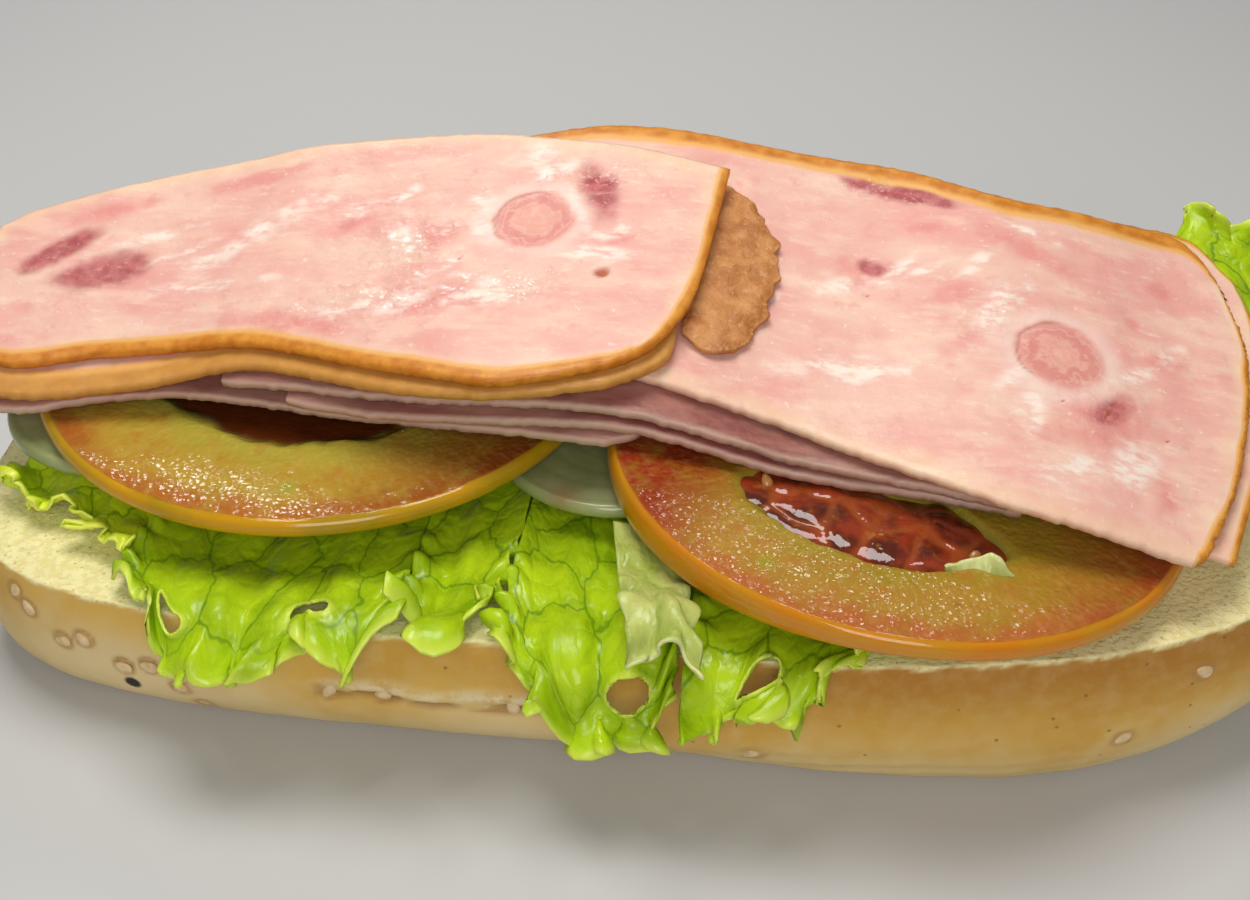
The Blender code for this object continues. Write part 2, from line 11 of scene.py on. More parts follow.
import bmesh
import bpy
import numpy as np
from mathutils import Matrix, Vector


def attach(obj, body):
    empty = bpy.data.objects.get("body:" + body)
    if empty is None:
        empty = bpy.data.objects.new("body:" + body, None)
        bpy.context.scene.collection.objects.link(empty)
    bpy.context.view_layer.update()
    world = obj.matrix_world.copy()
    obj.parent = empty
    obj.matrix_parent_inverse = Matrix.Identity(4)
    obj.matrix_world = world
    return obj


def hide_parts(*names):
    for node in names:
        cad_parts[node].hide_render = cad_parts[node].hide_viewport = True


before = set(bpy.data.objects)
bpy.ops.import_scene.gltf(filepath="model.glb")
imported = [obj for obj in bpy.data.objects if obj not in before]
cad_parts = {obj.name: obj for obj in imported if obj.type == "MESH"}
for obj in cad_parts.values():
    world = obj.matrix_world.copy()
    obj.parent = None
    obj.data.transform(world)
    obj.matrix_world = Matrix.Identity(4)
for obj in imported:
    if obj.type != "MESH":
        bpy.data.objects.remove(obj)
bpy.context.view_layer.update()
print("solids in the frame:", len(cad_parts))

# %% [markdown]
# ## Small tools for curves and places
# Sizes are easier to read in millimetres, so places are worked out in millimetres and
# turned into metres once, when a mesh is filled. All the functions take whole arrays,
# because a leaf has about twenty thousand points and a Python loop over them is slow.

# %% Arrays instead of loops
MM = 0.001


def ramp(value, low, high):
    """Smooth step from 0 at low to 1 at high."""
    t = np.clip((value - low) / (high - low), 0.0, 1.0)
    return t * t * (3 - 2 * t)


def between(value, stops):
    """Smoothly interpolated height through (place, height) stops."""
    value = np.asarray(value, float)
    height = np.full(value.shape, float(stops[0][1]))
    for (a, za), (b, zb) in zip(stops, stops[1:]):
        height = np.where(value > a, za + (zb - za) * ramp(value, a, b), height)
    return height


def stack(*parts):
    """One array of points from separate x, y and z."""
    return np.stack(np.broadcast_arrays(*parts), axis=-1).astype(float)


def bump(distance, width):
    """A soft hill: 1 at no distance, fading over the width."""
    return np.exp(-((distance / width) ** 2))


# %% Noise on arrays
SLOPES = np.random.default_rng(1).normal(size=(1024, 3))
SLOPES /= np.linalg.norm(SLOPES, axis=1, keepdims=True)


def lattice_noise(points):
    """Gradient noise: a random slope at each whole-number corner, blended smoothly."""
    corner = np.floor(points).astype(np.int64)
    within = points - corner
    share = within**3 * (within * (within * 6 - 15) + 10)
    total = np.zeros(len(points))
    for step in np.ndindex(2, 2, 2):
        ix, iy, iz = (corner + step).T
        slope = SLOPES[(ix * 73856093 ^ iy * 19349663 ^ iz * 83492791) & 1023]
        weight = np.prod(np.where(step, share, 1 - share), axis=1)
        total += weight * ((within - step) * slope).sum(1)
    return total


def rough(points, size, seed=0.0, octaves=1):
    """Smooth noise, about -1 to 1, with features of the given size in millimetres."""
    total = np.zeros(len(points))
    for octave in range(octaves):
        spot = points * (2**octave / size) + seed * 17.3 + octave * 5.1
        total += 0.5**octave * lattice_noise(spot)
    return total * 1.7


def flat_noise(a, b, size, seed=0.0, octaves=1):
    return rough(stack(a, b, np.zeros_like(a)), size, seed, octaves)


def line_noise(a, size, seed=0.0, octaves=1):
    return flat_noise(a, a * 0, size, seed, octaves)


def cells(a, b, size, seed):
    """Distances to the nearest and second nearest of scattered points, for lumps."""
    rng = np.random.default_rng(seed)
    low = np.array([a.min(), b.min()]) - 2 * size
    high = np.array([a.max(), b.max()]) + 2 * size
    steps = [np.arange(low[0], high[0], size), np.arange(low[1], high[1], size)]
    centres = stack(*np.meshgrid(*steps, indexing="ij")).reshape(-1, 2)
    centres += rng.uniform(-0.42, 0.42, centres.shape) * size
    first = np.full(len(a), 1e3)
    second = np.full(len(a), 1e3)
    for cx, cy in centres:
        away = np.hypot(a - cx, b - cy)
        second = np.minimum(second, np.maximum(first, away))
        first = np.minimum(first, away)
    return first, second


# %% [markdown]
# ## Outlines of a slice
# A slice of ham has no simple outline. Four smooth edge curves that meet at the corners
# describe it well, and blending them fills the inside. Blender has no such patch for
# meshes, so the blend is written out. It is the classic way to fill four curves.

# %% Curves and patches
def smooth_curve(points):
    """A function of an array of 0..1 that runs smoothly through the points."""
    places = np.array(points, float)
    steps = np.hypot(*np.diff(places, axis=0).T)
    lengths = np.concatenate([[0.0], np.cumsum(steps)])
    tangents = np.empty_like(places)
    tangents[1:-1] = (places[2:] - places[:-2]) / (lengths[2:] - lengths[:-2])[:, None]
    tangents[0] = (places[1] - places[0]) / steps[0]
    tangents[-1] = (places[-1] - places[-2]) / steps[-1]

    def at(t):
        want = np.asarray(t, float) * lengths[-1]
        i = np.clip(np.searchsorted(lengths, want, side="left") - 1, 0, len(steps) - 1)
        q = ((want - lengths[i]) / steps[i])[..., None]
        a, b = places[i], places[i + 1]
        whole = a * (2 * q**3 - 3 * q**2 + 1) + b * (3 * q**2 - 2 * q**3)
        bend = tangents[i] * (q**3 - 2 * q**2 + q) + tangents[i + 1] * (q**3 - q**2)
        return whole + bend * steps[i][..., None]

    return at


def patch(front, back, left, right):
    """A function of u (left to right) and v (front to back) that fills four edge curves."""
    f, b, l, r = (smooth_curve(points) for points in (front, back, left, right))

    def at(u, v):
        uu, vv = u[..., None], v[..., None]
        corners = f(0.0) * (1 - uu) * (1 - vv) + f(1.0) * uu * (1 - vv)
        corners = corners + b(0.0) * (1 - uu) * vv + b(1.0) * uu * vv
        return f(u) * (1 - vv) + b(u) * vv + l(v) * (1 - uu) + r(v) * uu - corners

    return at


# %% [markdown]
# ## Filling meshes
# Every thin piece starts as a grid of squares made by bmesh. Its points are moved to their
# places, holes are cut by deleting points, and a Solidify modifier gives it thickness. What
# a point should look like is kept on it as named numbers, which its material reads.

# %% Mesh builders
def object_from(name, shape, points, marks):
    """An object from a bmesh or a mesh, with its points in millimetres and its marks."""
    mesh = shape
    if isinstance(shape, bmesh.types.BMesh):
        mesh = bpy.data.meshes.new(name)
        shape.to_mesh(mesh)
        shape.free()
    mesh.vertices.foreach_set("co", (points * MM).astype(np.float32).ravel())
    for mark, values in marks.items():
        attribute = mesh.attributes.new(mark, "FLOAT", "POINT")
        attribute.data.foreach_set("value", np.asarray(values, np.float32))
    mesh.shade_smooth()
    made = bpy.data.objects.new(name, mesh)
    bpy.context.scene.collection.objects.link(made)
    return made


def grid_uv(across, along):
    """A square grid in bmesh and its u and v, each 0 to 1."""
    shape = bmesh.new()
    bmesh.ops.create_grid(shape, x_segments=across, y_segments=along, size=0.5)
    flat = np.array([v.co[:2] for v in shape.verts]) + 0.5
    return shape, flat[:, 0], flat[:, 1]


def closed_ball(around, rings):
    """A ball's faces, with the ring number of each point, 0 at the bottom, and its angle."""
    inner = np.arange(around * (rings - 1)).reshape(rings - 1, around) + 1
    turned = np.roll(inner, -1, axis=1)
    top = around * (rings - 1) + 1
    quads = np.stack([inner[:-1], turned[:-1], turned[1:], inner[1:]], axis=-1).reshape(-1, 4)
    faces = quads.tolist() + [(0, b, a) for a, b in zip(inner[0], turned[0])]
    faces += [(a, b, top) for a, b in zip(inner[-1], turned[-1])]
    mesh = bpy.data.meshes.new("ball")
    mesh.from_pydata(np.zeros((top + 1, 3)).tolist(), [], faces)
    ring = np.concatenate([[0], np.repeat(np.arange(1, rings), around), [rings]]).astype(float)
    angle = np.concatenate([[0], np.tile(np.arange(around) * 2 * np.pi / around, rings - 1), [0]])
    return mesh, ring, np.where(angle > np.pi, angle - 2 * np.pi, angle)


def normals_of(place, u, v, step=0.004):
    """Points of place(u, v), unit normals that point up, and unit directions along u."""
    here = place(u, v)
    along_u = place(np.minimum(u + step, 1), v) - place(np.maximum(u - step, 0), v)
    along_v = place(u, np.minimum(v + step, 1)) - place(u, np.maximum(v - step, 0))
    normal = np.cross(along_u, along_v)
    normal /= np.maximum(np.linalg.norm(normal, axis=1, keepdims=True), 1e-9)
    along_u /= np.maximum(np.linalg.norm(along_u, axis=1, keepdims=True), 1e-9)
    return here, normal, along_u


def remove_points(shape, unwanted):
    shape.verts.ensure_lookup_table()
    points = [shape.verts[i] for i in np.flatnonzero(unwanted)]
    bmesh.ops.delete(shape, geom=points, context="VERTS")


WEIGHT_LEVELS = 20


def thicken(made, thickness, thin_edge=None):
    """Solidify about the middle. thin_edge is a share of the thickness for each point, kept
    in a few levels, because a weight is given to many points at once."""
    solid = made.modifiers.new("Thickness", "SOLIDIFY")
    solid.thickness = thickness * MM
    solid.offset = 0
    if thin_edge is not None:
        group = made.vertex_groups.new(name="thickness")
        levels = np.round(np.clip(thin_edge, 0.05, 1) * WEIGHT_LEVELS).astype(int)
        for level in np.unique(levels):
            group.add(np.flatnonzero(levels == level).tolist(), level / WEIGHT_LEVELS, "REPLACE")
        solid.vertex_group = "thickness"


def dress(made, look, slot, *nodes):
    """Give a piece its finish, hang it on the root empty and hide the solids that it replaces."""
    made.data.materials.append(look)
    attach(made, "root")
    if nodes:
        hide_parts(*nodes)
    print(f"{made.name}: {len(made.data.vertices)} points")


# %% [markdown]
# ## Building a material
# Each food has its own colours, but all of them need the same few steps: read a number
# from the mesh, mix colours by it, add noise, and turn noise into bump. Short helpers keep
# each recipe readable. Numbers that are the same all over go straight on the shader.

# %% Node helpers
class Look:
    """One node material and the helpers that add nodes to it."""

    def __init__(self, name, roughness, **settings):
        self.material = bpy.data.materials.new(name)
        self.material.use_nodes = True
        self.tree = self.material.node_tree
        self.shader = self.tree.nodes["Principled BSDF"]
        self.set_value("Roughness", roughness)
        for socket, value in settings.items():
            self.set_value(socket.replace("_", " "), value)
        self.place = self.new("ShaderNodeTexCoord").outputs["Object"]

    def set_value(self, socket, value):
        self.shader.inputs[socket].default_value = value

    def new(self, kind, **settings):
        node = self.tree.nodes.new(kind)
        for key, value in settings.items():
            setattr(node, key, value)
        return node

    def put(self, socket, value):
        if isinstance(value, bpy.types.NodeSocket):
            self.tree.links.new(value, socket)
        elif isinstance(value, tuple):
            socket.default_value = (*value, 1.0) if len(value) == 3 else value
        else:
            socket.default_value = value

    def mark(self, name):
        return self.new("ShaderNodeAttribute", attribute_name=name).outputs["Fac"]

    def noise(self, size, detail=3.0, stretch=None, roughness=0.55, offset=0.0):
        node = self.new("ShaderNodeTexNoise")
        node.inputs["Scale"].default_value = 1 / (size * MM)
        node.inputs["Detail"].default_value = detail
        node.inputs["Roughness"].default_value = roughness
        self.put(node.inputs["Vector"], self.mapped(stretch, offset))
        return node.outputs["Fac"]

    def mapped(self, stretch=None, offset=0.0):
        if stretch is None and offset == 0.0:
            return self.place
        node = self.new("ShaderNodeMapping")
        self.put(node.inputs["Vector"], self.place)
        node.inputs["Scale"].default_value = stretch or (1, 1, 1)
        node.inputs["Location"].default_value = (offset, offset * 0.7, offset * 1.3)
        return node.outputs["Vector"]

    def cells(self, size):
        node = self.new("ShaderNodeTexVoronoi")
        node.inputs["Scale"].default_value = 1 / (size * MM)
        self.put(node.inputs["Vector"], self.place)
        return node.outputs["Distance"]

    def span(self, value, low, high, start=0.0, end=1.0):
        """Smooth step of a value, from start at low to end at high."""
        node = self.new("ShaderNodeMapRange", interpolation_type="SMOOTHSTEP")
        self.put(node.inputs["Value"], value)
        ends = {"From Min": low, "From Max": high, "To Min": start, "To Max": end}
        for socket, number in ends.items():
            node.inputs[socket].default_value = number
        return node.outputs["Result"]

    def math(self, operation, a, b=0.0):
        node = self.new("ShaderNodeMath", operation=operation)
        self.put(node.inputs[0], a)
        self.put(node.inputs[1], b)
        return node.outputs["Value"]

    def mix(self, share, first, second):
        node = self.new("ShaderNodeMix", data_type="RGBA")
        self.put(node.inputs[0], share)
        self.put(node.inputs[6], first)
        self.put(node.inputs[7], second)
        return node.outputs[2]

    def tint(self, body, share, strength, colour):
        """Lay a colour over the body where share is high, at most at the given strength."""
        return self.mix(self.math("MULTIPLY", share, strength), body, colour)

    def let_light_in(self, weight, depth, reach):
        """How much light goes into the piece, how deep in metres, and how far each colour."""
        self.set_value("Subsurface Weight", weight)
        self.set_value("Subsurface Scale", depth)
        self.set_value("Subsurface Radius", reach)

    def colour(self, value):
        self.put(self.shader.inputs["Base Color"], value)

    def bumps(self, *layers):
        """Bump layers of (height, depth in millimetres)."""
        normal = None
        for height, depth in layers:
            node = self.new("ShaderNodeBump")
            node.inputs["Strength"].default_value = 1.0
            node.inputs["Distance"].default_value = depth * MM
            self.put(node.inputs["Height"], height)
            if normal is not None:
                self.put(node.inputs["Normal"], normal)
            normal = node.outputs["Normal"]
        self.put(self.shader.inputs["Normal"], normal)


# %% [markdown]
# ## The roll
# The base is the bottom half of a soft baked roll: a smooth golden crust that fades to
# cream where it touched the tray, and a cut face with open pores. One closed mesh keeps
# the cut edge tight. It starts as a ball whose rings are laid over the roll, from the
# middle of the underside up the crust and in again over the cut face.

# %% Sizes of the roll
ROLL_HALF_LENGTH = 96.0
ROLL_HALF_WIDTH = 42.0
FRONT_BELLY = 3.9
CRUMB_LEFT, CRUMB_MIDDLE, CRUMB_RIGHT = 22.0, 23.8, 27.6
UNDERSIDE_INSET = [(-96.0, 3.0), (-66.0, 15.5), (0.0, 15.5), (60.0, 10.3)]
CUT_EDGE_INSET = 1.6
BELLY = 0.49
LIFT_FROM, LIFT_LEFT, LIFT_RIGHT = 58.0, 2.5, 4.8


def crumb_height(x, y):
    t = x / ROLL_HALF_LENGTH
    bow = (CRUMB_LEFT + CRUMB_RIGHT) / 2 - CRUMB_MIDDLE
    tilted = CRUMB_MIDDLE + (CRUMB_RIGHT - CRUMB_LEFT) / 2 * t
    return tilted + bow * t * t - 0.5 * np.cos(y / ROLL_HALF_WIDTH * np.pi / 2)


def roundness(x, side):
    """Power of the plan's rounded ends. The left end is squarer than the right one."""
    return np.where(x < 0, 3.7, np.where(side < 0, 2.25, 3.2))


def roll_width(x, side):
    """Half width of the roll at x, to the front for side -1 and to the back for side 1."""
    t = np.minimum(np.abs(x) / ROLL_HALF_LENGTH, 1.0)
    power = roundness(x, side)
    width = ROLL_HALF_WIDTH + FRONT_BELLY * (t * t - 0.35) * (side < 0)
    return width * (1 - t**power) ** (1 / power)


def underside_lift(x):
    t = np.maximum(np.abs(x) - LIFT_FROM, 0) / (ROLL_HALF_LENGTH - LIFT_FROM)
    return np.where(x > 0, LIFT_RIGHT, LIFT_LEFT) * t * t


def crust_profile(x, t):
    """Inset and share of the height up the crust, from the underside at 0 to the cut at 1."""
    turn = np.minimum(t, 0.5) * np.pi
    rise = np.maximum(t - 0.5, 0) / 0.5
    inset = between(x, UNDERSIDE_INSET) * (1 - np.sin(turn)) + CUT_EDGE_INSET * rise**2.5
    return inset, BELLY * (1 - np.cos(turn)) + (1 - BELLY) * rise


# %% Places of the seeds
SEEDS = [
    (-75.0, 0.59, -1), (-71.5, 0.66, -1), (-82.0, 0.84, -1), (-80.0, 0.77, -1), (-62.0, 0.56, -1),
    (-55.5, 0.25, -1), (-36.5, 0.56, -1), (-29.0, 0.58, -1), (-15.5, 0.60, -1), (-11.5, 0.57, -1),
    (77.0, 0.76, -1), (-66.0, 0.50, -1), (-58.0, 0.42, -1), (68.0, 0.42, -1), (20.0, 0.35, -1),
]
seed_draw = np.random.default_rng(5)
SEEDS += [(x, share, 1) for x, share in seed_draw.uniform((-80, 0.2), (78, 0.8), (16, 2))]


def crust_place(x, share, side):
    """Point and outward direction on the crust at a share of the height."""
    steps = np.linspace(0, 1, 61)
    t = steps[np.argmin(np.abs(crust_profile(x, steps)[1] - share))]

    def at(place_x, s):
        inset, high = crust_profile(place_x, s)
        y = side * (roll_width(place_x, side) - inset)
        lift = underside_lift(place_x)
        return np.array([place_x, y, lift + high * (crumb_height(place_x, y) - lift)], float)

    up_crust = at(x, min(t + 0.03, 1)) - at(x, max(t - 0.03, 0))
    outward = np.cross(at(x + 1, t) - at(x - 1, t), up_crust)
    outward *= np.sign(outward[1]) * side / np.linalg.norm(outward)
    return at(x, t), outward


seed_spots = [crust_place(*seed) for seed in SEEDS]
print("sesame seeds:", len(seed_spots))


# %% Shape of the roll
def make_roll():
    around, rings, under, crust = 560, 160, 12, 52
    shape, ring, angle = closed_ball(around, rings)
    side = np.where(np.sin(angle) < 0, -1.0, 1.0)
    power = roundness(np.cos(angle), side)
    x = ROLL_HALF_LENGTH * np.sign(np.cos(angle)) * np.abs(np.cos(angle)) ** (2 / power)
    y = side * roll_width(x, side)
    reach = np.hypot(x, y)
    up_crust = np.clip((ring - under) / crust, 0, 1)
    inset, share = crust_profile(x, up_crust)
    on_top = ring > under + crust
    top_share = (rings - ring) / (rings - under - crust)
    flat_share = np.where(on_top, top_share, np.minimum(ring / under, 1))
    keep = (1 - inset / reach) * flat_share
    x, y = x * keep, y * keep
    lift = underside_lift(x)
    points = stack(x, y, lift + share * (crumb_height(x, y) - lift))
    outward = stack(np.cos(angle), np.sin(angle), np.zeros_like(angle))
    return shape, points, outward, ring, up_crust, on_top


def detail_roll(points, outward, up_crust, on_top):
    """Unevenness, the tear in the crust, wrinkles low on the right and pores in the crumb."""
    x, y, z = points.T
    side_wall = ramp(up_crust, 0.0, 0.15) * ~on_top
    push = 0.5 * rough(points, 26, 1) + 0.16 * rough(points, 6, 2)
    wobble = 0.035 * flat_noise(x, y, 12, 4)
    tear_line = up_crust - 0.56 - wobble - 0.03 * flat_noise(x, y, 3.2, 11, 2) - 0.0012 * (x + 20)
    broken = ramp(flat_noise(x, y, 6, 12, 2), -0.35, 0.1)
    tear = bump(tear_line, 0.022) * ramp(x, -42, -30) * (1 - ramp(x, -8, 4)) * (y < 0) * broken
    lip = bump(tear_line - 0.07, 0.05) * ramp(x, -44, -30) * (1 - ramp(x, -8, 6)) * (y < 0)
    folds = np.sin(up_crust * 70 + 3 * flat_noise(x, z, 14, 5))
    wrinkled = bump(x - 36, 24) * bump(up_crust - 0.26, 0.16) * (y < 0)
    push += -0.9 * tear + 0.35 * lip + 0.22 * folds * wrinkled
    push *= side_wall
    points = points + outward * push[:, None]
    pores = np.maximum(rough(points, 2.4, 6) - 0.3, 0) ** 1.5
    pores += 0.6 * np.maximum(rough(points, 4.5, 7) - 0.2, 0) ** 2
    soft = 0.30 * rough(points, 9, 8) + 0.05 * rough(points, 2.8, 10)
    inside = on_top * ramp(roll_width(x, np.sign(y)) - np.abs(y), 0.5, 2.5)
    torn_rim = on_top * (1 - inside) * np.abs(rough(points, 2.2, 9))
    points[:, 2] += inside * (soft - 0.25 * pores) - 0.25 * torn_rim
    return points, tear, lip * side_wall, pores * on_top


# %% Colours of the bread
def bread_look():
    look = Look("baked_bread", 0.55, Specular_IOR_Level=0.35)
    height = look.mark("height")
    patches = look.noise(22, 3)
    fine = look.noise(2.2, 4)
    golden = look.mix(look.span(patches, 0.3, 0.7), (0.78, 0.50, 0.10), (0.66, 0.37, 0.05))
    pale = look.mix(look.span(patches, 0.35, 0.65), (0.78, 0.61, 0.31), (0.70, 0.52, 0.22))
    rise = look.math("ADD", height, look.span(patches, 0.2, 0.8, -0.16, 0.16))
    crust = look.mix(look.span(rise, 0.24, 0.66), pale, golden)
    mottled = look.span(look.noise(8, 4, offset=3.0), 0.5, 0.75, 0, 0.45)
    crust = look.mix(mottled, crust, (0.80, 0.62, 0.28))
    # deeper brown below the cut edge, stronger to the right: partly real toasting, partly painted
    # shade under the tomato
    crust = look.tint(crust, look.mark("toast_and_shade"), 0.9, (0.42, 0.17, 0.012))
    crust = look.mix(look.span(fine, 0.35, 0.75, 0, 0.2), crust, (0.72, 0.52, 0.24))
    specks = look.span(look.cells(4.5), 0.085, 0.03)
    crust = look.tint(crust, specks, 0.65, (0.20, 0.09, 0.03))
    # painted shade round the foot of each seed
    crust = look.mix(look.mark("seed_shade_ring"), crust, (0.42, 0.22, 0.06))
    shreds = look.span(look.noise(1.6, 4), 0.35, 0.6, 0.3, 0.9)
    crust = look.tint(crust, look.mark("tear"), shreds, (0.84, 0.70, 0.42))
    # the dark colour in the groove of the tear is painted shadow
    crust = look.tint(crust, look.mark("crack_shadow"), 0.85, (0.26, 0.11, 0.03))
    crust = look.mix(look.span(look.mark("burnt"), 0.4, 0.7), crust, (0.02, 0.012, 0.008))
    open_pores = look.span(look.noise(0.9, 3), 0.36, 0.56)
    crumb = look.mix(open_pores, (0.88, 0.76, 0.33), (0.95, 0.87, 0.46))
    # the sunk pores and the small pits are darkened: painted shade in the holes of the crumb
    crumb = look.tint(crumb, look.mark("pores"), 0.4, (0.62, 0.46, 0.16))
    pits = look.span(look.cells(1.5), 0.22, 0.08)
    crumb = look.tint(crumb, pits, 0.55, (0.50, 0.34, 0.10))
    look.colour(look.mix(look.mark("crumb"), crust, crumb))
    crumb_bump = look.math("MULTIPLY", open_pores, look.mark("crumb"))
    look.bumps((crumb_bump, 0.07), (look.noise(0.8, 3), 0.04),
               (look.noise(2.0, 4), 0.07), (look.noise(5, 3), 0.14))
    return look.material


def near_seeds(points):
    """1 in a ring of painted shade round the foot of each seed, fading out."""
    ring = np.zeros(len(points))
    for spot, _ in seed_spots:
        away = np.linalg.norm(points - spot, axis=1)
        ring = np.maximum(ring, bump(away - 1.4, 0.4))
    return ring


shape, points, outward, ring, up_crust, on_top = make_roll()
points, tear, lip, pores = detail_roll(points, outward, up_crust, on_top)
edge_wander = flat_noise(points[:, 0], points[:, 1], 3.0, 3, 2)
roll = object_from("bread", shape, points, {
    # the extra paleness towards the left end is painted light
    "height": up_crust - 0.22 * (1 - ramp(points[:, 0], -75, -35)),
    "crumb": np.where(on_top, 1.0, ramp(up_crust + 0.02 * edge_wander, 0.975, 0.995)),
    "tear": np.clip(lip, 0, 1),
    # painted shadow in the groove of the tear
    "crack_shadow": np.clip(tear, 0, 1),
    "burnt": bump(np.linalg.norm(points - [-65.4, -39.0, 8.0], axis=1), 1.6),
    # the sunk pores, which the crumb colour darkens as painted shade
    "pores": np.clip(pores * 0.8, 0, 1),
    # band below the cut edge: partly toasting, partly painted shade under the tomato
    "toast_and_shade": bump(up_crust - 0.95, 0.30) * (0.1 + 0.9 * ramp(points[:, 0], -50, 30)) * ~on_top,
    # painted shade round the seeds
    "seed_shade_ring": near_seeds(points) * 0.8 * ~on_top,
})
bread_finish = bread_look()
dress(roll, bread_finish, "bread", "bread_base")

# %% [markdown]
# ## Sesame seeds
# A sesame seed is a flat drop, round at one end and pointed at the other. They are pressed
# into the crust and baked with it. One ball is squashed and drawn out at one end, and a
# copy is laid at each place, turned at random with a fixed seed.

# %% Seeds as one mesh
SEED_HALF_LENGTH, SEED_HALF_WIDTH, SEED_HALF_DEPTH = 1.3, 0.85, 0.42
SEED_LIFT = 0.05


def seed_drop(shape, spot, outward, spin, size):
    """Add one seed at the spot, flat on the surface that faces outward."""
    made = bmesh.ops.create_uvsphere(shape, u_segments=14, v_segments=10, radius=1)["verts"]
    flat = np.cross(outward, (math.cos(spin), 0.3, math.sin(spin)))
    flat /= np.linalg.norm(flat)
    across = np.cross(outward, flat)
    for vert in made:
        a, b, c = vert.co
        b *= 1 - 0.32 * a
        place = spot + outward * (SEED_LIFT + SEED_HALF_DEPTH * c)
        place = place + flat * a * SEED_HALF_LENGTH * size + across * b * SEED_HALF_WIDTH * size
        vert.co = Vector(place)


def seeds_look():
    look = Look("sesame", 0.4)
    tone = look.span(look.noise(1.2), 0.3, 0.7)
    look.colour(look.mix(tone, (0.80, 0.62, 0.36), (0.66, 0.44, 0.20)))
    look.bumps((look.noise(0.5), 0.05))
    return look.material


shape = bmesh.new()
for spot, outward in seed_spots:
    seed_drop(shape, spot, outward, seed_draw.uniform(0, math.pi), seed_draw.uniform(0.85, 1.1))
seed_points = np.array([v.co for v in shape.verts])
seeds = object_from("sesame_seeds", shape, seed_points, {})
dress(seeds, seeds_look(), "bread")

# %% [markdown]
# ## What the layers rest on
# Onion and tomato lie nearly flat, and the ham leans on them. These few heights are the
# same named sizes that the solids were made from, so each leaf knows what is above it.

# %% Heights of the layers
GAP = 0.4
LEAF_THICKNESS = 0.7
LEAF_REST = 1.3
TOMATO_LEFT = {"centre": (-48.5, 8.5), "radii": (42.3, 41.5), "turn": 0.0, "back": 0.74}
TOMATO_RIGHT = {"centre": (35.8, -7.5), "radii": (39.6, 36.0), "turn": -0.13, "back": 1.0}
ONION_LEFT = (-75.0, -4.5, 29.2)
ONION_MIDDLE = (-3.5, -2.5, 28.9)
ONION_RADIUS = 17.2
ONION_THICKNESS = 2.2
TOMATO_LEFT_THICKNESS = 2.9
TOMATO_RIGHT_THIN, TOMATO_RIGHT_THICK = 3.0, 5.8
PALE_LEAF_HEIGHT = 30.4


def tomato_left_top(x, y):
    return 35.4 + 0.03 * (y - TOMATO_LEFT["centre"][1]) + 0 * x


def tomato_left_depth(x, y):
    return TOMATO_LEFT_THICKNESS + 0 * x


def tomato_right_top(x, y):
    cx, cy = TOMATO_RIGHT["centre"]
    return 34.7 - 0.08 * (x - cx) - 0.01 * (y - cy)


def tomato_right_depth(x, y):
    across = (x - TOMATO_RIGHT["centre"][0]) / TOMATO_RIGHT["radii"][0]
    return TOMATO_RIGHT_THIN + (TOMATO_RIGHT_THICK - TOMATO_RIGHT_THIN) * ramp(-across, -0.2, 1.0)


def outside(disc, x, y):
    """How far (x, y) is outside the disc's outline, and 0 inside it."""
    cx, cy = disc["centre"]
    turn = disc["turn"]
    a = (x - cx) * np.cos(turn) + (y - cy) * np.sin(turn)
    b = (y - cy) * np.cos(turn) - (x - cx) * np.sin(turn)
    rx, ry = disc["radii"]
    share = np.hypot(a / rx, b / np.where(b > 0, ry * disc["back"], ry))
    return np.maximum(share - 1, 0) * np.hypot(a, b) / np.maximum(share, 0.001)


def front_ceiling(x, y):
    """The lower lettuce stays under this, and may rise away from what lies on it."""
    steep = 1.3
    left = tomato_left_top(x, y) - TOMATO_LEFT_THICKNESS - ONION_THICKNESS - 2 * GAP
    left = left + steep * outside(TOMATO_LEFT, x, y)
    right = tomato_right_top(x, y) - tomato_right_depth(x, y) - GAP
    right = right + steep * outside(TOMATO_RIGHT, x, y)
    ceiling = np.minimum(left, right)
    for ox, oy, under in (ONION_LEFT, ONION_MIDDLE):
        away = np.maximum(np.hypot(x - ox, y - oy) - ONION_RADIUS, 0)
        ceiling = np.minimum(ceiling, under - GAP + steep * away)
    beside = np.maximum(np.maximum(-6.0 - x, x - 18.0), 0)
    pale = PALE_LEAF_HEIGHT - 2.5 * GAP + steep * beside
    return np.where(y < -18, np.minimum(ceiling, pale), ceiling)


def back_floor(x, y):
    """The back lettuce stays above the crumb and, sloping off their outlines, the tomatoes."""
    floor = crumb_height(x, y)
    for disc, top in ((TOMATO_LEFT, tomato_left_top), (TOMATO_RIGHT, tomato_right_top)):
        floor = np.maximum(floor, top(x, y) - 2.4 * np.maximum(outside(disc, x, y) - 1.2, 0))
    return floor + 1.5 * GAP


def ham_rest(x, y):
    """Height of the underside of the lowest ham layer."""
    stops = [(-100, 35.9), (-50, 36.1), (-3, 38.4), (36, 36.0), (76, 33.6), (95, 32.8)]
    wave = 0.5 * np.sin(x / 17.0 + 0.6) * ramp(y, -5, 25)
    return between(x, stops) + 0.207 * (y + 15.0) + wave


# %% [markdown]
# ## Loose leaf lettuce
# A lettuce leaf is a thin skin that grew faster at its rim than in its middle, so the rim
# has to fold up. Close to the rim the folds get tighter and lean over themselves. Cloth
# simulation could grow such folds, but it is hard to steer. Here the leaf is laid over the
# cut edge first and the folds are added along its normals: each one swings sideways
# as well as up, which gives the curled lips. Between its veins the leaf is blistered.

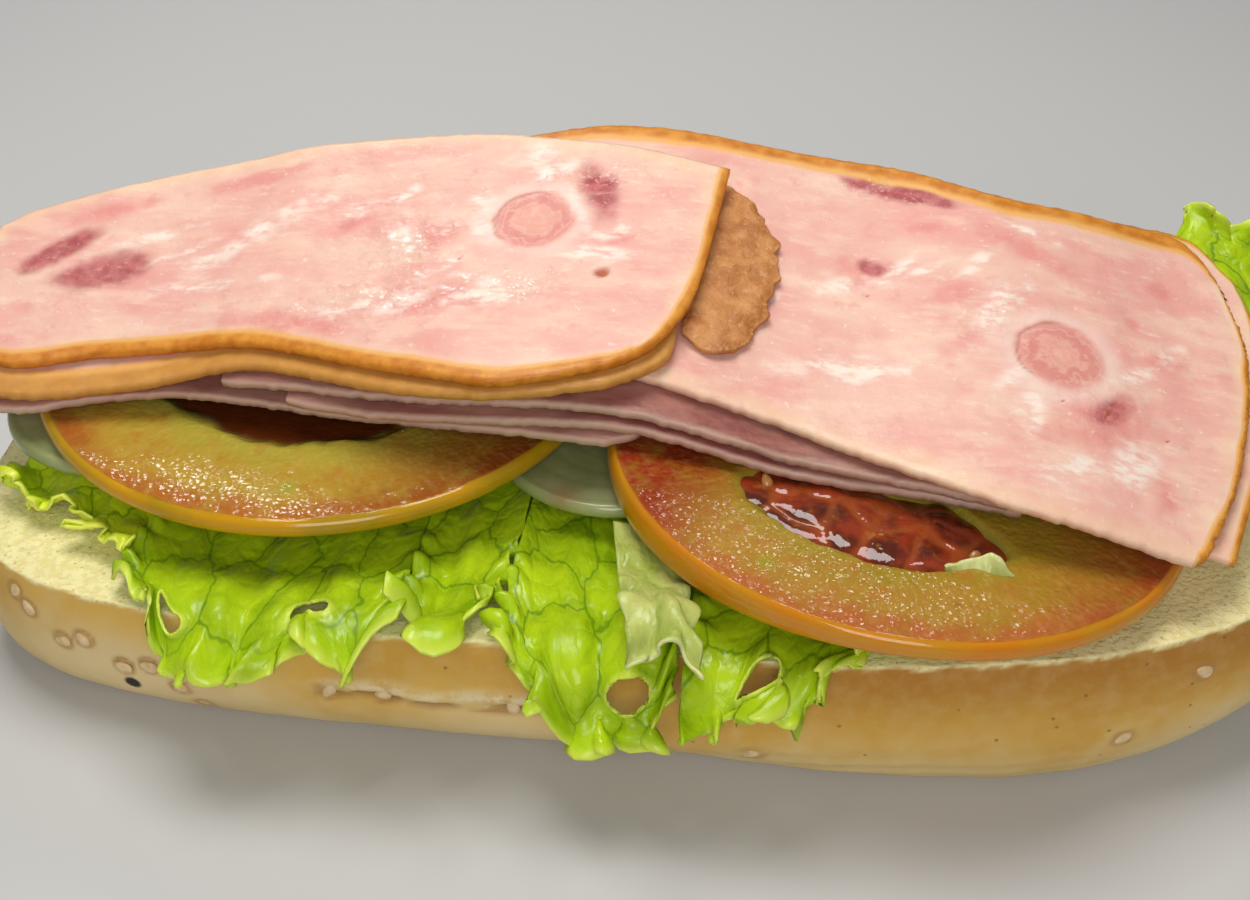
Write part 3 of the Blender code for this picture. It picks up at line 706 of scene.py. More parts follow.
# %% A leaf laid over the cut edge
def hang(x, out, side, gap):
    """Place on a sheet that lies on the crumb and hangs over the cut edge, and how far it
    has turned down. out is the distance from the middle line, along the sheet."""
    bend, lean = 5.5, math.radians(80)
    edge = roll_width(x, side) - CUT_EDGE_INSET
    turn_at = edge + 3.5 + gap - bend
    top = crumb_height(x, side * np.minimum(out, edge)) + gap
    turned = np.clip((out - turn_at) / bend, 0, lean)
    rest = np.maximum(out - turn_at - bend * turned, 0)
    y = np.minimum(out, turn_at) + bend * np.sin(turned) + rest * math.cos(lean)
    z = top - bend * (1 - np.cos(turned)) - rest * math.sin(lean)
    return stack(x, side * y, z), turned


def wavy(u, v, waves, phase):
    """Uneven waves along a leaf, 0 in the hollows and 1 on the crests."""
    uneven = u + 0.05 * np.sin(9 * u + phase) + 0.02 * np.sin(23 * u + 2 * phase)
    return 0.5 + 0.5 * np.sin(2 * np.pi * waves * uneven + phase + 1.1 * np.sin(3.4 * v + phase))


def front_leaf(left, right, inner, reach, frill, waves, phase, **_):
    """Place on a front leaf. left and right are its sides' x where it starts and where it
    ends, inner is where it starts, and reach is how far it hangs past the cut edge."""
    def place(u, v):
        inner_x = left[0] + (right[0] - left[0]) * u
        outer_x = left[1] + (right[1] - left[1]) * u
        x = inner_x * (1 - v) + outer_x * v
        end = roll_width(x, -1) - CUT_EDGE_INSET + between(u, reach)
        out = inner + (end - inner) * v**0.6
        point, turned = hang(x, out, -1, LEAF_REST)
        lift = frill * (0.15 + 0.45 * v**3) * wavy(u, v, waves, phase)
        lowest = point[:, 2].copy()
        point[:, 1] -= np.sin(turned) * lift
        point[:, 2] += np.cos(turned) * lift
        ceiling = front_ceiling(x, point[:, 1]) - LEAF_THICKNESS / 2
        held = np.maximum(np.minimum(point[:, 2], ceiling), lowest)
        point[:, 2] = np.where(turned < 1.25, held, point[:, 2])
        return point

    return place


# %% Folds, blisters and veins
def fold_phase(u, width, wave_length, seed):
    """A phase that runs along the rim with folds of uneven length."""
    along = u * width
    uneven = 0.9 * line_noise(along, 14, seed) + 0.35 * line_noise(along, 6, seed + 3)
    return 2 * np.pi * along / wave_length + 2.6 * uneven


def leaf_surface(place, u, v, size, seed, spread=0.6, curl=2.4, wave_length=8.0,
                 lobes=2.2, flare=2.0, deep=6.0, holes=()):
    """Points of a leaf with a ruffled, flaring rim, the numbers that its finish reads, and
    the points to leave out. deep is how far in millimetres the ruffles reach in from the free
    edge, and each hole is its place along the leaf, its distance from the rim and its radii."""
    width, length = size
    a, b = u * width, v**spread * length
    gone = np.zeros(len(a), bool)
    hole_rim = np.zeros(len(a))
    for place_a, from_rim, radius_a, radius_b in holes:
        da, db = a - place_a, b - length + from_rim
        away = np.maximum(np.hypot(da / radius_a, db / radius_b), 1e-6)
        gone |= away < 0.75
        outwards = np.where(away < 1, 1 / away, 1.0)
        a, b = place_a + da * outwards, length - from_rim + db * outwards
        hole_rim = np.maximum(hole_rim, 1 - ramp(away, 1.0, 1.5))
    u, v = np.clip(a / width, 0, 1), (b / length) ** (1 / spread)
    phase = fold_phase(u, width, wave_length, seed)
    notch = lobes * (1 - np.abs(np.sin(phase / 2 + 0.6))) ** 2
    teeth = notch + 0.5 * np.abs(line_noise(a, 2.2, seed + 11))
    teeth += 1.2 * np.maximum(line_noise(a, 10, seed + 12), 0)
    trimmed = np.maximum(b - teeth * ramp(b, length - 9, length), 0) / length
    here, normal, along = normals_of(place, u, np.clip(trimmed ** (1 / spread), 0, 1))
    normal *= np.where(normal[:, 2:] < -0.05, -1.0, 1.0)
    down = np.cross(along, normal)
    to_rim = length - b
    to_side = np.minimum(a, width - a)
    rim = 1 - ramp(to_rim, 0, deep)
    edge = 1 - ramp(to_rim, 0, 3.0)
    side_rim = (1 - ramp(to_side, 0, 4)) * ramp(b, length - 30, length - 10)
    side_phase = 2 * np.pi * b / 6.0 + 2 * line_noise(b, 7, seed + 9)
    turned = phase + 0.10 * b
    strength = curl * rim**1.5 * (0.75 + 0.5 * line_noise(a, 12, seed + 6))
    fine = fold_phase(u, width, wave_length * 0.36, seed + 5) + 0.2 * b
    push = flare * rim**2 + strength * np.cos(turned) + 1.3 * side_rim**1.5 * np.cos(side_phase)
    push += 0.8 * edge * np.cos(fine) + 0.7 * edge**2 * line_noise(a, 5, seed + 13)
    push += 0.7 * hole_rim
    push += 0.35 * flat_noise(a, b, 9, seed + 4, 2) + 0.9 * flat_noise(a, b * 0.5, 17, seed + 7)
    sway = -0.5 * strength * np.sin(2 * turned) + 0.25 * edge * np.sin(2 * fine)
    dip = 0.5 * flare * rim**3 + 0.3 * strength * (0.5 - 0.5 * np.cos(turned)) * rim
    points = here + normal * push[:, None] + along * sway[:, None] - down * dip[:, None]
    marks = {
        "across": a, "along": b, "frill": rim, "shade": flat_noise(a, b, 14, seed + 8),
        "rim": np.maximum(1 - ramp(to_rim, 0, 1.8), 0.8 * hole_rim),
    }
    return points, marks, gone


# %% Leaf finishes
def vein_net(look, size, width, offset):
    """Thin lines between the cells of a leaf, 1 on a line, and a dome between them."""
    spot = look.new("ShaderNodeCombineXYZ")
    look.put(spot.inputs["X"], look.mark("across"))
    look.put(spot.inputs["Y"], look.math("MULTIPLY", look.mark("along"), 0.62))
    spot.inputs["Z"].default_value = offset
    warp = look.new("ShaderNodeTexNoise")
    warp.inputs["Scale"].default_value = 1.4 / size
    warp.inputs["Detail"].default_value = 3
    look.put(warp.inputs["Vector"], spot.outputs[0])
    shift = look.new("ShaderNodeVectorMath", operation="MULTIPLY_ADD")
    look.put(shift.inputs[0], warp.outputs["Color"])
    shift.inputs[1].default_value = (size * 0.75,) * 3
    look.put(shift.inputs[2], spot.outputs[0])
    net = look.new("ShaderNodeTexVoronoi", feature="DISTANCE_TO_EDGE", voronoi_dimensions="2D")
    net.inputs["Scale"].default_value = 1 / size
    look.put(net.inputs["Vector"], shift.outputs[0])
    away = look.math("MULTIPLY", net.outputs["Distance"], size)
    return look.span(away, width, width * 0.2), look.span(away, 0.0, size * 0.3)


def leaf_look(name, deep, bright, rim_colour, vein_colour, vein=0.8):
    """A leaf's finish, from its colours and the strength of its veins."""
    look = Look(name, 0.3, Specular_IOR_Level=0.34)
    look.let_light_in(0.25, 0.0012, (0.5, 1.0, 0.1))
    big, big_dome = vein_net(look, 7.0, 0.24, 0.0)
    small, small_dome = vein_net(look, 2.4, 0.14, 7.0)
    tone = look.span(look.noise(8, 3), 0.32, 0.68)
    inner = look.math("SUBTRACT", 1.0, look.mark("frill"))
    body = look.mix(tone, deep, bright)
    body = look.mix(look.span(look.mark("shade"), -0.5, 0.6, 0.0, 0.5), body, bright)
    # the domes between the veins are lightened and the hollows beside the veins darkened: painted
    # light and shade on the blisters
    body = look.tint(body, big_dome, 0.35, bright)
    hollows = look.span(big_dome, 0.7, 0.1)
    nets = [
        (hollows, 0.35, deep), (small, 0.16 * vein, vein_colour), (big, 0.85 * vein, vein_colour),
    ]
    for net, strength, colour in nets:
        body = look.tint(body, net, look.math("MULTIPLY", inner, strength), colour)
    body = look.tint(body, look.mark("rim"), 0.7, rim_colour)
    look.colour(body)
    look.put(look.shader.inputs["Roughness"], look.span(look.noise(3, 3), 0.3, 0.7, 0.17, 0.38))
    look.bumps((big_dome, 0.28), (small_dome, 0.08), (look.noise(0.6, 3), 0.02))
    return look.material


green_leaf = leaf_look(
    "green_leaf", deep=(0.28, 0.45, 0.004), bright=(0.50, 0.70, 0.01),
    rim_colour=(0.76, 0.88, 0.12), vein_colour=(0.09, 0.22, 0.004))
# a brightened copy of the green leaf: painted light for the far left leaf, which lies in shade
painted_light_leaf = leaf_look(
    "painted_light_leaf", deep=(0.54, 0.76, 0.006), bright=(0.76, 0.93, 0.02),
    rim_colour=(0.86, 0.94, 0.16), vein_colour=(0.16, 0.34, 0.006))
dark_leaf = leaf_look(
    "shaded_leaf", deep=(0.13, 0.30, 0.004), bright=(0.32, 0.54, 0.008),
    rim_colour=(0.52, 0.70, 0.06), vein_colour=(0.06, 0.18, 0.005))
pale_leaf_look = leaf_look(
    "pale_leaf", deep=(0.34, 0.43, 0.06), bright=(0.58, 0.62, 0.19),
    rim_colour=(0.72, 0.75, 0.34), vein_colour=(0.24, 0.38, 0.05), vein=0.5)

# %% The front leaves
FRONT_LEAVES = {
    "lettuce_far_left": {
        "left": (-86.0, -90.0), "right": (-66.4, -66.9), "inner": -15.0,
        "reach": [(0, -6.0), (0.5, -8.0), (1, -4.0)], "frill": 6.0, "waves": 2.6, "phase": 0.5,
        "size": (22, 44), "seed": 3, "curl": 2.8, "wave_length": 6.5, "deep": 8,
    },
    "lettuce_left": {
        "left": (-65.9, -66.3), "right": (-27.9, -27.2), "inner": -27.0,
        "reach": [
            (0, 0.0), (0.14, 4.0), (0.28, 9.6), (0.55, 9.6), (0.74, 5.0), (0.9, 7.5), (1, 3.0),
        ],
        "frill": 3.6, "waves": 3.6, "phase": 1.0, "size": (38, 80), "seed": 5, "curl": 2.5,
        "wave_length": 8.0, "deep": 8, "holes": [(27.5, 6.5, 2.6, 2.1), (9.5, 7.0, 2.2, 1.2)],
    },
    "lettuce_left_ruffle": {
        "left": (-27.6, -26.8), "right": (-14.3, -14.2), "inner": -22.0,
        "reach": [(0, 1.0), (0.55, 4.5), (1, -2.0)], "frill": 5.0, "waves": 1.8, "phase": 2.0,
        "size": (13, 68), "seed": 8, "curl": 2.6, "wave_length": 6.0, "deep": 9,
    },
    "lettuce_middle": {
        "left": (-13.9, -13.8), "right": (9.2, 10.2), "inner": -25.0,
        "reach": [(0, 3.0), (0.25, 9.0), (0.5, 16.5), (0.9, 15.0), (1, 9.0)],
        "frill": 4.2, "waves": 2.8, "phase": 0.2, "size": (23, 82), "seed": 13, "curl": 2.6,
        "wave_length": 7.5, "deep": 9, "holes": [(17.5, 9.5, 2.5, 2.2)],
    },
    "lettuce_right": {
        "left": (10.2, 11.2), "right": (56.0, 36.0), "inner": -18.0,
        "reach": [(0, 12.0), (0.2, 13.0), (0.38, 8.0), (0.55, 9.5), (0.8, 3.5), (1, -2.0)],
        "frill": 3.6, "waves": 3.4, "phase": 2.4, "size": (30, 68), "seed": 21, "curl": 2.5,
        "wave_length": 7.5, "deep": 8, "holes": [(10.5, 5.5, 2.3, 1.8)],
    },
}
LEAF_SKIN = 0.45


def make_leaf(name, place, size, seed, look, slot, replaces=True, cell=0.38, **folds):
    """One dressed leaf. size and cell, the size of its squares, are in millimetres."""
    across, along = (int(length / cell) for length in size)
    shape, u, v = grid_uv(across, along)
    points, marks, gone = leaf_surface(place, u, v, size, seed, **folds)
    made = object_from("dressed_" + name, shape, points, marks)
    if gone.any():
        cut = bmesh.new()
        cut.from_mesh(made.data)
        remove_points(cut, gone)
        cut.to_mesh(made.data)
        cut.free()
    thicken(made, LEAF_SKIN)
    dress(made, look, slot, *[name] * replaces)


for name, leaf in FRONT_LEAVES.items():
    folds = {key: leaf[key] for key in ("curl", "wave_length", "deep", "holes") if key in leaf}
    # the far left leaf gets the brightened copy, as painted light
    finish = painted_light_leaf if name == "lettuce_far_left" else green_leaf
    make_leaf(name, front_leaf(**leaf), leaf["size"], leaf["seed"], finish, "lettuce", **folds)


# %% The pale leaf in front of the right tomato
def pale_leaf(u, v):
    x = -1.0 + 9.0 * u + 6.0 * v
    y = -21.8 - (27.0 - 3.0 * np.sin(np.pi * u)) * v
    arch = (1.6 + 1.4 * np.sin(np.pi * u)) * ramp(v, 0.4, 0.8)
    droop = 3.2 * ramp(v, 0.7, 1.0) * (1 - 0.5 * u)
    folds = 0.7 * np.sin(2 * np.pi * (1.4 * u + 0.35 * v)) * ramp(v, 0.35, 0.8)
    return stack(x, y, PALE_LEAF_HEIGHT + arch - droop + folds)


make_leaf("lettuce_pale", pale_leaf, (11, 28), 31, pale_leaf_look, "pale_lettuce",
          spread=1.0, curl=0.15, wave_length=14, lobes=1.0, flare=0.4, deep=3)


# %% The back leaves
def back_leaf(left, right, waves, phase, stands_from):
    """Place on a back leaf from x left to right. It lies under the ham and hangs behind it,
    and from x stands_from on it stands up behind the ham instead."""
    behind_ham, stand_length = 37.0, 13.0

    def place(u, v):
        x = left + (right - left) * u
        edge = roll_width(x, 1) - CUT_EDGE_INSET
        start = 3.0 + 6.0 * np.sin(np.pi * u)
        end = edge + 6.5 + 2.0 * np.sin(2 * np.pi * waves * u / 3 + phase)
        wave = wavy(u, v, waves, phase)
        point, _ = hang(x, start + (end - start) * v, 1, LEAF_REST)
        y, z = point[:, 1], point[:, 2]
        floor = back_floor(x, y) + LEAF_THICKNESS / 2
        ceiling = np.maximum(ham_rest(x, np.minimum(y, behind_ham)) - GAP - LEAF_THICKNESS, floor)
        free = ramp(y, behind_ham + 1, behind_ham + 6)
        inside = floor + (ceiling - floor) * (0.1 + 0.85 * wave * (0.4 + 0.6 * ramp(x, -86, -68)))
        beyond = np.maximum(z, floor) + 2.2 * wave
        lying = stack(x, y + 3.0 * wave * free, inside * (1 - free) + beyond * free)
        out = start + (behind_ham + stand_length - start) * v
        behind = np.maximum(out - behind_ham, 0)
        top = ham_rest(x, np.minimum(out, behind_ham)) - 2 * GAP - LEAF_THICKNESS
        up = top + (0.45 + 0.2 * np.sin(11 * u)) * behind - 2.0 * wave * (1 - np.minimum(behind, 1))
        standing = stack(x, np.minimum(out, behind_ham) + (0.35 + 0.4 * wave) * behind, up)
        share = ramp(x, stands_from, stands_from + 6)[:, None]
        return lying * (1 - share) + standing * share

    return place


nowhere = 2 * ROLL_HALF_LENGTH
lying_leaf = back_leaf(-84.0, 20.0, waves=6.5, phase=0.4, stands_from=nowhere)
standing_leaf = back_leaf(22.0, 89.0, waves=5.3, phase=1.7, stands_from=72.0)
make_leaf("lettuce_back_left", lying_leaf, (104, 40), 41, dark_leaf, "lettuce",
          cell=0.5, spread=1.0, curl=1.6, wave_length=9, flare=0.5)
make_leaf("lettuce_back_right", standing_leaf, (67, 44), 43, green_leaf, "lettuce",
          cell=0.45, spread=1.0, curl=2.2, wave_length=7, deep=8, flare=0.5)

# %% [markdown]
# ## Onion
# Two thin wet rounds lie under the tomatoes. An onion slice is a stack of pale rings with
# a clear skin between them, so the relief is rings and the light passes a little way in.
# A squashed ball gives an evenly closed slice, the same way as for the tomatoes below.

# %% Round slices
def slice_mesh(disc, top, depth, around, faces, rim, round_edge):
    """A ball laid out as a round slice: places, share of the radius, angle and height share."""
    under = faces // 4
    rings = under + rim + faces
    shape, ring, angle = closed_ball(around, rings)
    bend = np.clip((ring - under) / rim, 0, 1)
    upper_share = np.where(ring > under + rim, (rings - ring) / faces, 1.0)
    share = np.where(ring < under, ring / under, upper_share)
    share = share * (1 - round_edge) + round_edge * np.sin(bend * np.pi) * (share > 0.999)
    rx, front_ry = disc["radii"]
    a = rx * share * np.cos(angle)
    b = np.where(np.sin(angle) > 0, front_ry * disc["back"], front_ry) * share * np.sin(angle)
    turn = disc["turn"]
    x = disc["centre"][0] + a * np.cos(turn) - b * np.sin(turn)
    y = disc["centre"][1] + a * np.sin(turn) + b * np.cos(turn)
    high = 0.5 - 0.5 * np.cos(bend * np.pi)
    points = stack(x, y, top(x, y) - depth(x, y) * (1 - high))
    return shape, points, share, angle, high


def onion_look():
    look = Look("onion", 0.16, Specular_IOR_Level=0.5)
    look.let_light_in(0.5, 0.003, (1.0, 1.0, 0.7))
    rings = look.span(look.mark("ring"), 0.2, 0.9)
    # these colours are the onion's greenish translucent white, darkened as painted shade under the
    # tomatoes
    body = look.mix(look.span(look.noise(7), 0.3, 0.7), (0.27, 0.30, 0.12), (0.38, 0.41, 0.20))
    body = look.tint(body, rings, 0.2, (0.20, 0.25, 0.09))
    # a brownish patch of painted shade and painted reflection near the front edge
    look.colour(look.mix(look.mark("painted_shade_and_reflection"), body, (0.33, 0.20, 0.09)))
    look.bumps((look.noise(2.5, 3), 0.1), (look.noise(0.5), 0.02))
    return look.material


onion_finish = onion_look()
for name, (cx, cy, under) in (("onion_left", ONION_LEFT), ("onion_middle", ONION_MIDDLE)):
    disc = {"centre": (cx, cy), "radii": (ONION_RADIUS, ONION_RADIUS), "turn": 0.0, "back": 1.0}
    shape, points, share, angle, high = slice_mesh(
        disc, lambda x, y, top=under + ONION_THICKNESS: top + 0 * x,
        lambda x, y: ONION_THICKNESS + 0 * x, around=160, faces=34, rim=10, round_edge=0.05)
    layered = share * 5.5 + 0.25 * flat_noise(points[:, 0], points[:, 1], 16, cx)
    ring_line = bump(layered - np.round(layered), 0.13)
    points[:, 2] -= 0.07 * ring_line * (high > 0.99) * ramp(share, 0.1, 0.3)
    # brownish patch of painted shade and reflection near the front edge of the middle onion
    painted_shade_and_reflection = bump(np.hypot(points[:, 0] + 8.5, points[:, 1] + 17.5), 2.2) * 0.7
    marks = {"ring": ring_line, "painted_shade_and_reflection": painted_shade_and_reflection}
    slice_piece = object_from("dressed_" + name, shape, points, marks)
    dress(slice_piece, onion_finish, "onion", name)

# %% [markdown]
# ## Tomato slices
# A cut tomato is skin, a firm outer wall, and chambers of seeds in jelly between ribs. The
# wall's cut face is wet and grainy: its broken cells catch the light as many tiny sparks.
# The chambers are sunk into the slice, and the jelly that is left is a lumpy piece of its
# own. Colour runs from the skin inwards, so the share of the radius is kept on the mesh.

# %% Chambers in the slices
def chamber(angle, share, count, turn, inner, outer, wander):
    """1 inside a seed chamber, 0 on the ribs and the wall, with a soft border."""
    rib = np.abs(np.sin((angle - turn) * count / 2))
    edge = outer + wander
    ring = ramp(share, inner, inner + 0.12) * (1 - ramp(share, edge - 0.05, edge + 0.03))
    return ring * ramp(rib, 0.10, 0.34)


ALL_OPEN = -9.0  # below any angle


def tomato_slice(disc, top, depth, chambers, sink, blush_and_shade, dots, seed, open_from=ALL_OPEN):
    """A slice whose chambers, sink deep, are hollow where minus the angle is above open_from.
    The first of its dots is green and the others are brown."""
    shape, points, share, angle, high = slice_mesh(
        disc, top, depth, around=420, faces=84, rim=18, round_edge=0.03)
    x, y = points[:, 0], points[:, 1]
    wander = 0.022 * flat_noise(x, y, 5, seed, 2)
    hollow = chamber(angle, share, *chambers, wander) * (high > 0.99)
    hollow *= ramp(-angle, open_from, open_from + 0.15)
    wall = (1 - hollow) * (high > 0.99) * ramp(share, 0.2, 0.4)
    grain = 0.035 * flat_noise(x, y, 0.9, seed + 2, 2) + 0.10 * flat_noise(x, y, 4.5, seed + 3)
    points[:, 2] += wall * grain - sink * hollow + 0.15 * hollow * flat_noise(x, y, 2.5, seed + 4)
    rise = 0.35 * bump(share - 0.92, 0.06) * (high > 0.99)
    points[:, 2] += rise * flat_noise(x, y, 8, seed + 5)
    marks = {
        "share": share,
        "hollow": hollow,
        "skin": ramp(share, 0.968, 0.978),
        "border": 4 * hollow * (1 - hollow),
        "east": 40 * np.cos(angle),
        "north": 40 * np.sin(angle),
        "blush_and_shade": blush_and_shade(x, y),
        "green_dot": bump(np.hypot(x - dots[0][0], y - dots[0][1]), 1.1),
        "brown_dot": np.max([bump(np.hypot(x - dx, y - dy), 0.6) for dx, dy in dots[1:]], axis=0),
    }
    return shape, points, marks


def tomato_look(name, wall, inner, near_skin, blush_and_shade, hollow, skin_top, skin_low):
    look = Look(name, 0.12, Specular_IOR_Level=0.45)
    look.let_light_in(0.3, 0.002, (1.0, 0.45, 0.15))
    share = look.mark("share")
    wobble = look.math("ADD", share, look.span(look.noise(6, 3), 0.2, 0.8, -0.05, 0.05))
    flesh = look.mix(look.span(wobble, 0.62, 0.82), inner, wall)
    flesh = look.mix(look.span(wobble, 0.84, 0.97), flesh, near_skin)
    # blush_and_shade: the flesh's own red, and on the left slice painted shade under the ham
    flesh = look.mix(look.mark("blush_and_shade"), flesh, blush_and_shade)
    spokes = look.new("ShaderNodeCombineXYZ")
    look.put(spokes.inputs["X"], look.mark("east"))
    look.put(spokes.inputs["Y"], look.mark("north"))
    look.put(spokes.inputs["Z"], look.math("MULTIPLY", share, 27.0))
    fibre = look.new("ShaderNodeTexNoise")
    fibre.inputs["Scale"].default_value = 0.9
    fibre.inputs["Detail"].default_value = 4
    look.put(fibre.inputs["Vector"], spokes.outputs[0])
    grains = look.span(fibre.outputs["Fac"], 0.46, 0.70)
    flesh = look.tint(flesh, grains, 0.13, (0.76, 0.56, 0.18))
    flesh = look.mix(look.span(look.noise(3.0, 4), 0.50, 0.76, 0, 0.45), flesh, near_skin)
    flesh = look.mix(look.span(look.noise(4.0, 3, offset=6.0), 0.50, 0.74, 0, 0.45), flesh, inner)
    for mark, colour in (("border", (0.46, 0.44, 0.05)), ("green_dot", (0.30, 0.34, 0.01)),
                         ("brown_dot", (0.30, 0.13, 0.02))):
        flesh = look.tint(flesh, look.mark(mark), 0.7, colour)
    # the hollow colour is the dark red of an emptied chamber, deepened as painted shade
    flesh = look.mix(look.mark("hollow"), flesh, hollow)
    skin = look.mix(look.span(look.noise(9, 2), 0.3, 0.7), skin_top, skin_low)
    look.colour(look.mix(look.mark("skin"), flesh, skin))
    cut = look.math("SUBTRACT", 1.0, look.mark("skin"))
    wet = look.math("MULTIPLY", cut, look.noise(1.7, 2, roughness=0.4))
    grain = look.math("MULTIPLY", cut, look.cells(0.8))
    look.bumps((look.noise(7, 2), 0.10), (wet, 0.22), (grain, 0.10))
    return look.material


left_finish = tomato_look(
    "amber_tomato", wall=(0.50, 0.31, 0.035), inner=(0.44, 0.37, 0.045),
    near_skin=(0.44, 0.14, 0.018), blush_and_shade=(0.23, 0.045, 0.006), hollow=(0.11, 0.022, 0.004),
    skin_top=(0.62, 0.32, 0.008), skin_low=(0.44, 0.27, 0.008))
right_finish = tomato_look(
    "red_tomato", wall=(0.44, 0.23, 0.028), inner=(0.36, 0.24, 0.018),
    near_skin=(0.46, 0.13, 0.028), blush_and_shade=(0.29, 0.022, 0.005), hollow=(0.13, 0.016, 0.004),
    skin_top=(0.64, 0.22, 0.006), skin_low=(0.60, 0.27, 0.012))
# chambers: how many, their turn, and the shares of the radius where they start and end
shape, points, marks = tomato_slice(
    TOMATO_LEFT, tomato_left_top, tomato_left_depth, chambers=(3, 1.4, 0.2, 0.60), sink=1.3,
    # on the left slice this is mostly painted shade under the ham, over a reddish brown of its own
    blush_and_shade=lambda x, y: 0.85 * ramp(x, -45, -12) + 0.6 * ramp(-x, 70, 88),
    dots=[(-44.4, -25.6), (-34.8, -24.8), (-31.1, -24.4), (-27.9, -23.6), (-25.1, -22.9)],
    seed=51)
tomato_left = object_from("left_tomato_slice", shape, points, marks)
dress(tomato_left, left_finish, "tomato_amber", "tomato_left")
shape, points, marks = tomato_slice(
    TOMATO_RIGHT, tomato_right_top, tomato_right_depth, chambers=(3, -0.60, 0.18, 0.60), sink=2.4,
    blush_and_shade=lambda x, y: 0.95 * ramp(0.5 * y - x, -30, -14) + 0.6 * ramp(x, 52, 70),
    dots=[(20.0, -33.0), (44.0, -35.5), (58.0, -29.0)], seed=61, open_from=0.5)
tomato_right = object_from("right_tomato_slice", shape, points, marks)
dress(tomato_right, right_finish, "tomato_red", "tomato_right")

# %% [markdown]
# ## Seed jelly
# The chamber of the right slice still holds its jelly. It is a wet lump, pulled into folds,
# and darker where it is deep. A ball is drawn out along a curved line, and scattered points
# divide it into lumps with creases between them. A few seeds sit in it, half sunk.

# %% Jelly in the right slice
JELLY_LINE = smooth_curve(
    [(15.0, -12.6), (22.5, -17.2), (31.0, -20.4), (40.0, -22.2), (50.5, -24.4)])
JELLY_LENGTH = 38


def jelly_mesh():
    around, rings = 180, 100
    shape, ring, angle = closed_ball(around, rings)
    polar = ring / rings * np.pi
    t = 0.5 - 0.5 * np.cos(polar)
    spine = JELLY_LINE(t)
    ahead = JELLY_LINE(np.minimum(t + 0.01, 1)) - JELLY_LINE(np.maximum(t - 0.01, 0))
    ahead /= np.linalg.norm(ahead, axis=1, keepdims=True)
    across = stack(ahead[:, 1], -ahead[:, 0])
    taper = np.sin(polar) ** (0.34 + 0.2 * t)
    along, beside = t * JELLY_LENGTH, 7.5 * np.cos(angle) * taper
    warped_along = along + 1.2 * flat_noise(along, beside, 5, 3)
    warped_beside = beside + 1.2 * flat_noise(beside, along, 5, 4)
    first, second = cells(warped_along, warped_beside, 6.0, 7)
    lump = 1 - np.exp(-(second - first) / 2.2)
    wave = flat_noise(along, beside, 9, 8, 2)
    width = taper * (7.4 + 0.8 * lump + 0.7 * wave)
    height = taper * (1.7 + 0.6 * lump + 0.5 * wave)
    x = spine[:, 0] + across[:, 0] * width * np.cos(angle)
    y = spine[:, 1] + across[:, 1] * width * np.cos(angle)
    z = tomato_right_top(x, y) - 1.9 + height * np.sin(angle)
    return shape, stack(x, y, z), {"fold": lump}


def jelly_look():
    look = Look("seed_jelly", 0.06, Specular_IOR_Level=0.55)
    look.let_light_in(0.4, 0.002, (1.0, 0.3, 0.1))
    tone = look.span(look.noise(5, 3), 0.38, 0.62)
    deep = look.mix(tone, (0.10, 0.017, 0.008), (0.30, 0.040, 0.012))
    pale = look.mix(look.span(look.mark("fold"), 0.6, 0.1, 0, 0.55), deep, (0.42, 0.10, 0.02))
    golden = look.span(look.noise(2.2, 3, offset=4.0), 0.60, 0.8, 0, 0.5)
    look.colour(look.mix(golden, pale, (0.55, 0.25, 0.04)))
    look.bumps((look.noise(3.2, 2), 0.25), (look.noise(1.2, 2), 0.05))
    return look.material


shape, points, marks = jelly_mesh()
jelly = object_from("seed_jelly", shape, points, marks)
dress(jelly, jelly_look(), "tomato_red")

# %% Seeds in the jelly
# (share of the way along the jelly, millimetres in front of its line, spin)
JELLY_SEEDS = [
    (0.10, 2.0, 0.3), (0.34, 4.3, 1.0), (0.52, 3.9, 2.2), (0.74, 4.2, 1.4), (0.86, 2.5, 2.7),
]


def tomato_seed_look():
    look = Look("tomato_seed", 0.2)
    look.colour(look.mix(look.noise(1.0), (0.36, 0.13, 0.03), (0.50, 0.24, 0.07)))
    return look.material


shape = bmesh.new()
for t, beside, spin in JELLY_SEEDS:
    x, y = JELLY_LINE(np.array([t]))[0] + np.array([0.32, -0.95]) * beside
    spot = np.array([x, y, tomato_right_top(x, y) - 0.055 * beside**2])
    seed_drop(shape, spot, np.array([0.1, -0.6, 0.8]), spin, 0.85)
seed_points = np.array([v.co for v in shape.verts])
tomato_seeds = object_from("tomato_seeds", shape, seed_points, {})
dress(tomato_seeds, tomato_seed_look(), "tomato_red")

# %% [markdown]
# ## The curl in the chamber
# A bit of the leaf below comes up through the gap between the jelly and the wall. It is a
# short strip that bends back over the jelly, made the same way as the leaves.

# %% Lettuce in the gap
def chamber_curl(u, v):
    x = 42.3 + 8.8 * u
    arc = np.sin(np.pi * u**1.4)
    y = -28.3 - 0.4 * arc + 2.2 * arc * v**2
    return stack(x, y, tomato_right_top(x, y) - 2.4 + (2.2 + 1.6 * arc) * v)


make_leaf("curl_in_tomato", chamber_curl, (9, 4), 51, pale_leaf_look, "lettuce",
          replaces=False, spread=1.0, curl=0.2, wave_length=24, lobes=0.0, flare=0.2, deep=2.0)

# %% [markdown]
# ## Sliced ham
# Cooked ham is pressed muscle: pink meat with cream fat between, darker rounds where a
# muscle was cut across, and a browned rind round the outside. A slice is thin and limp, so
# it follows what is under it. The places of the darker spots are chosen one by one, since
# no noise puts them where the real slice has them, and noise does the streaks.

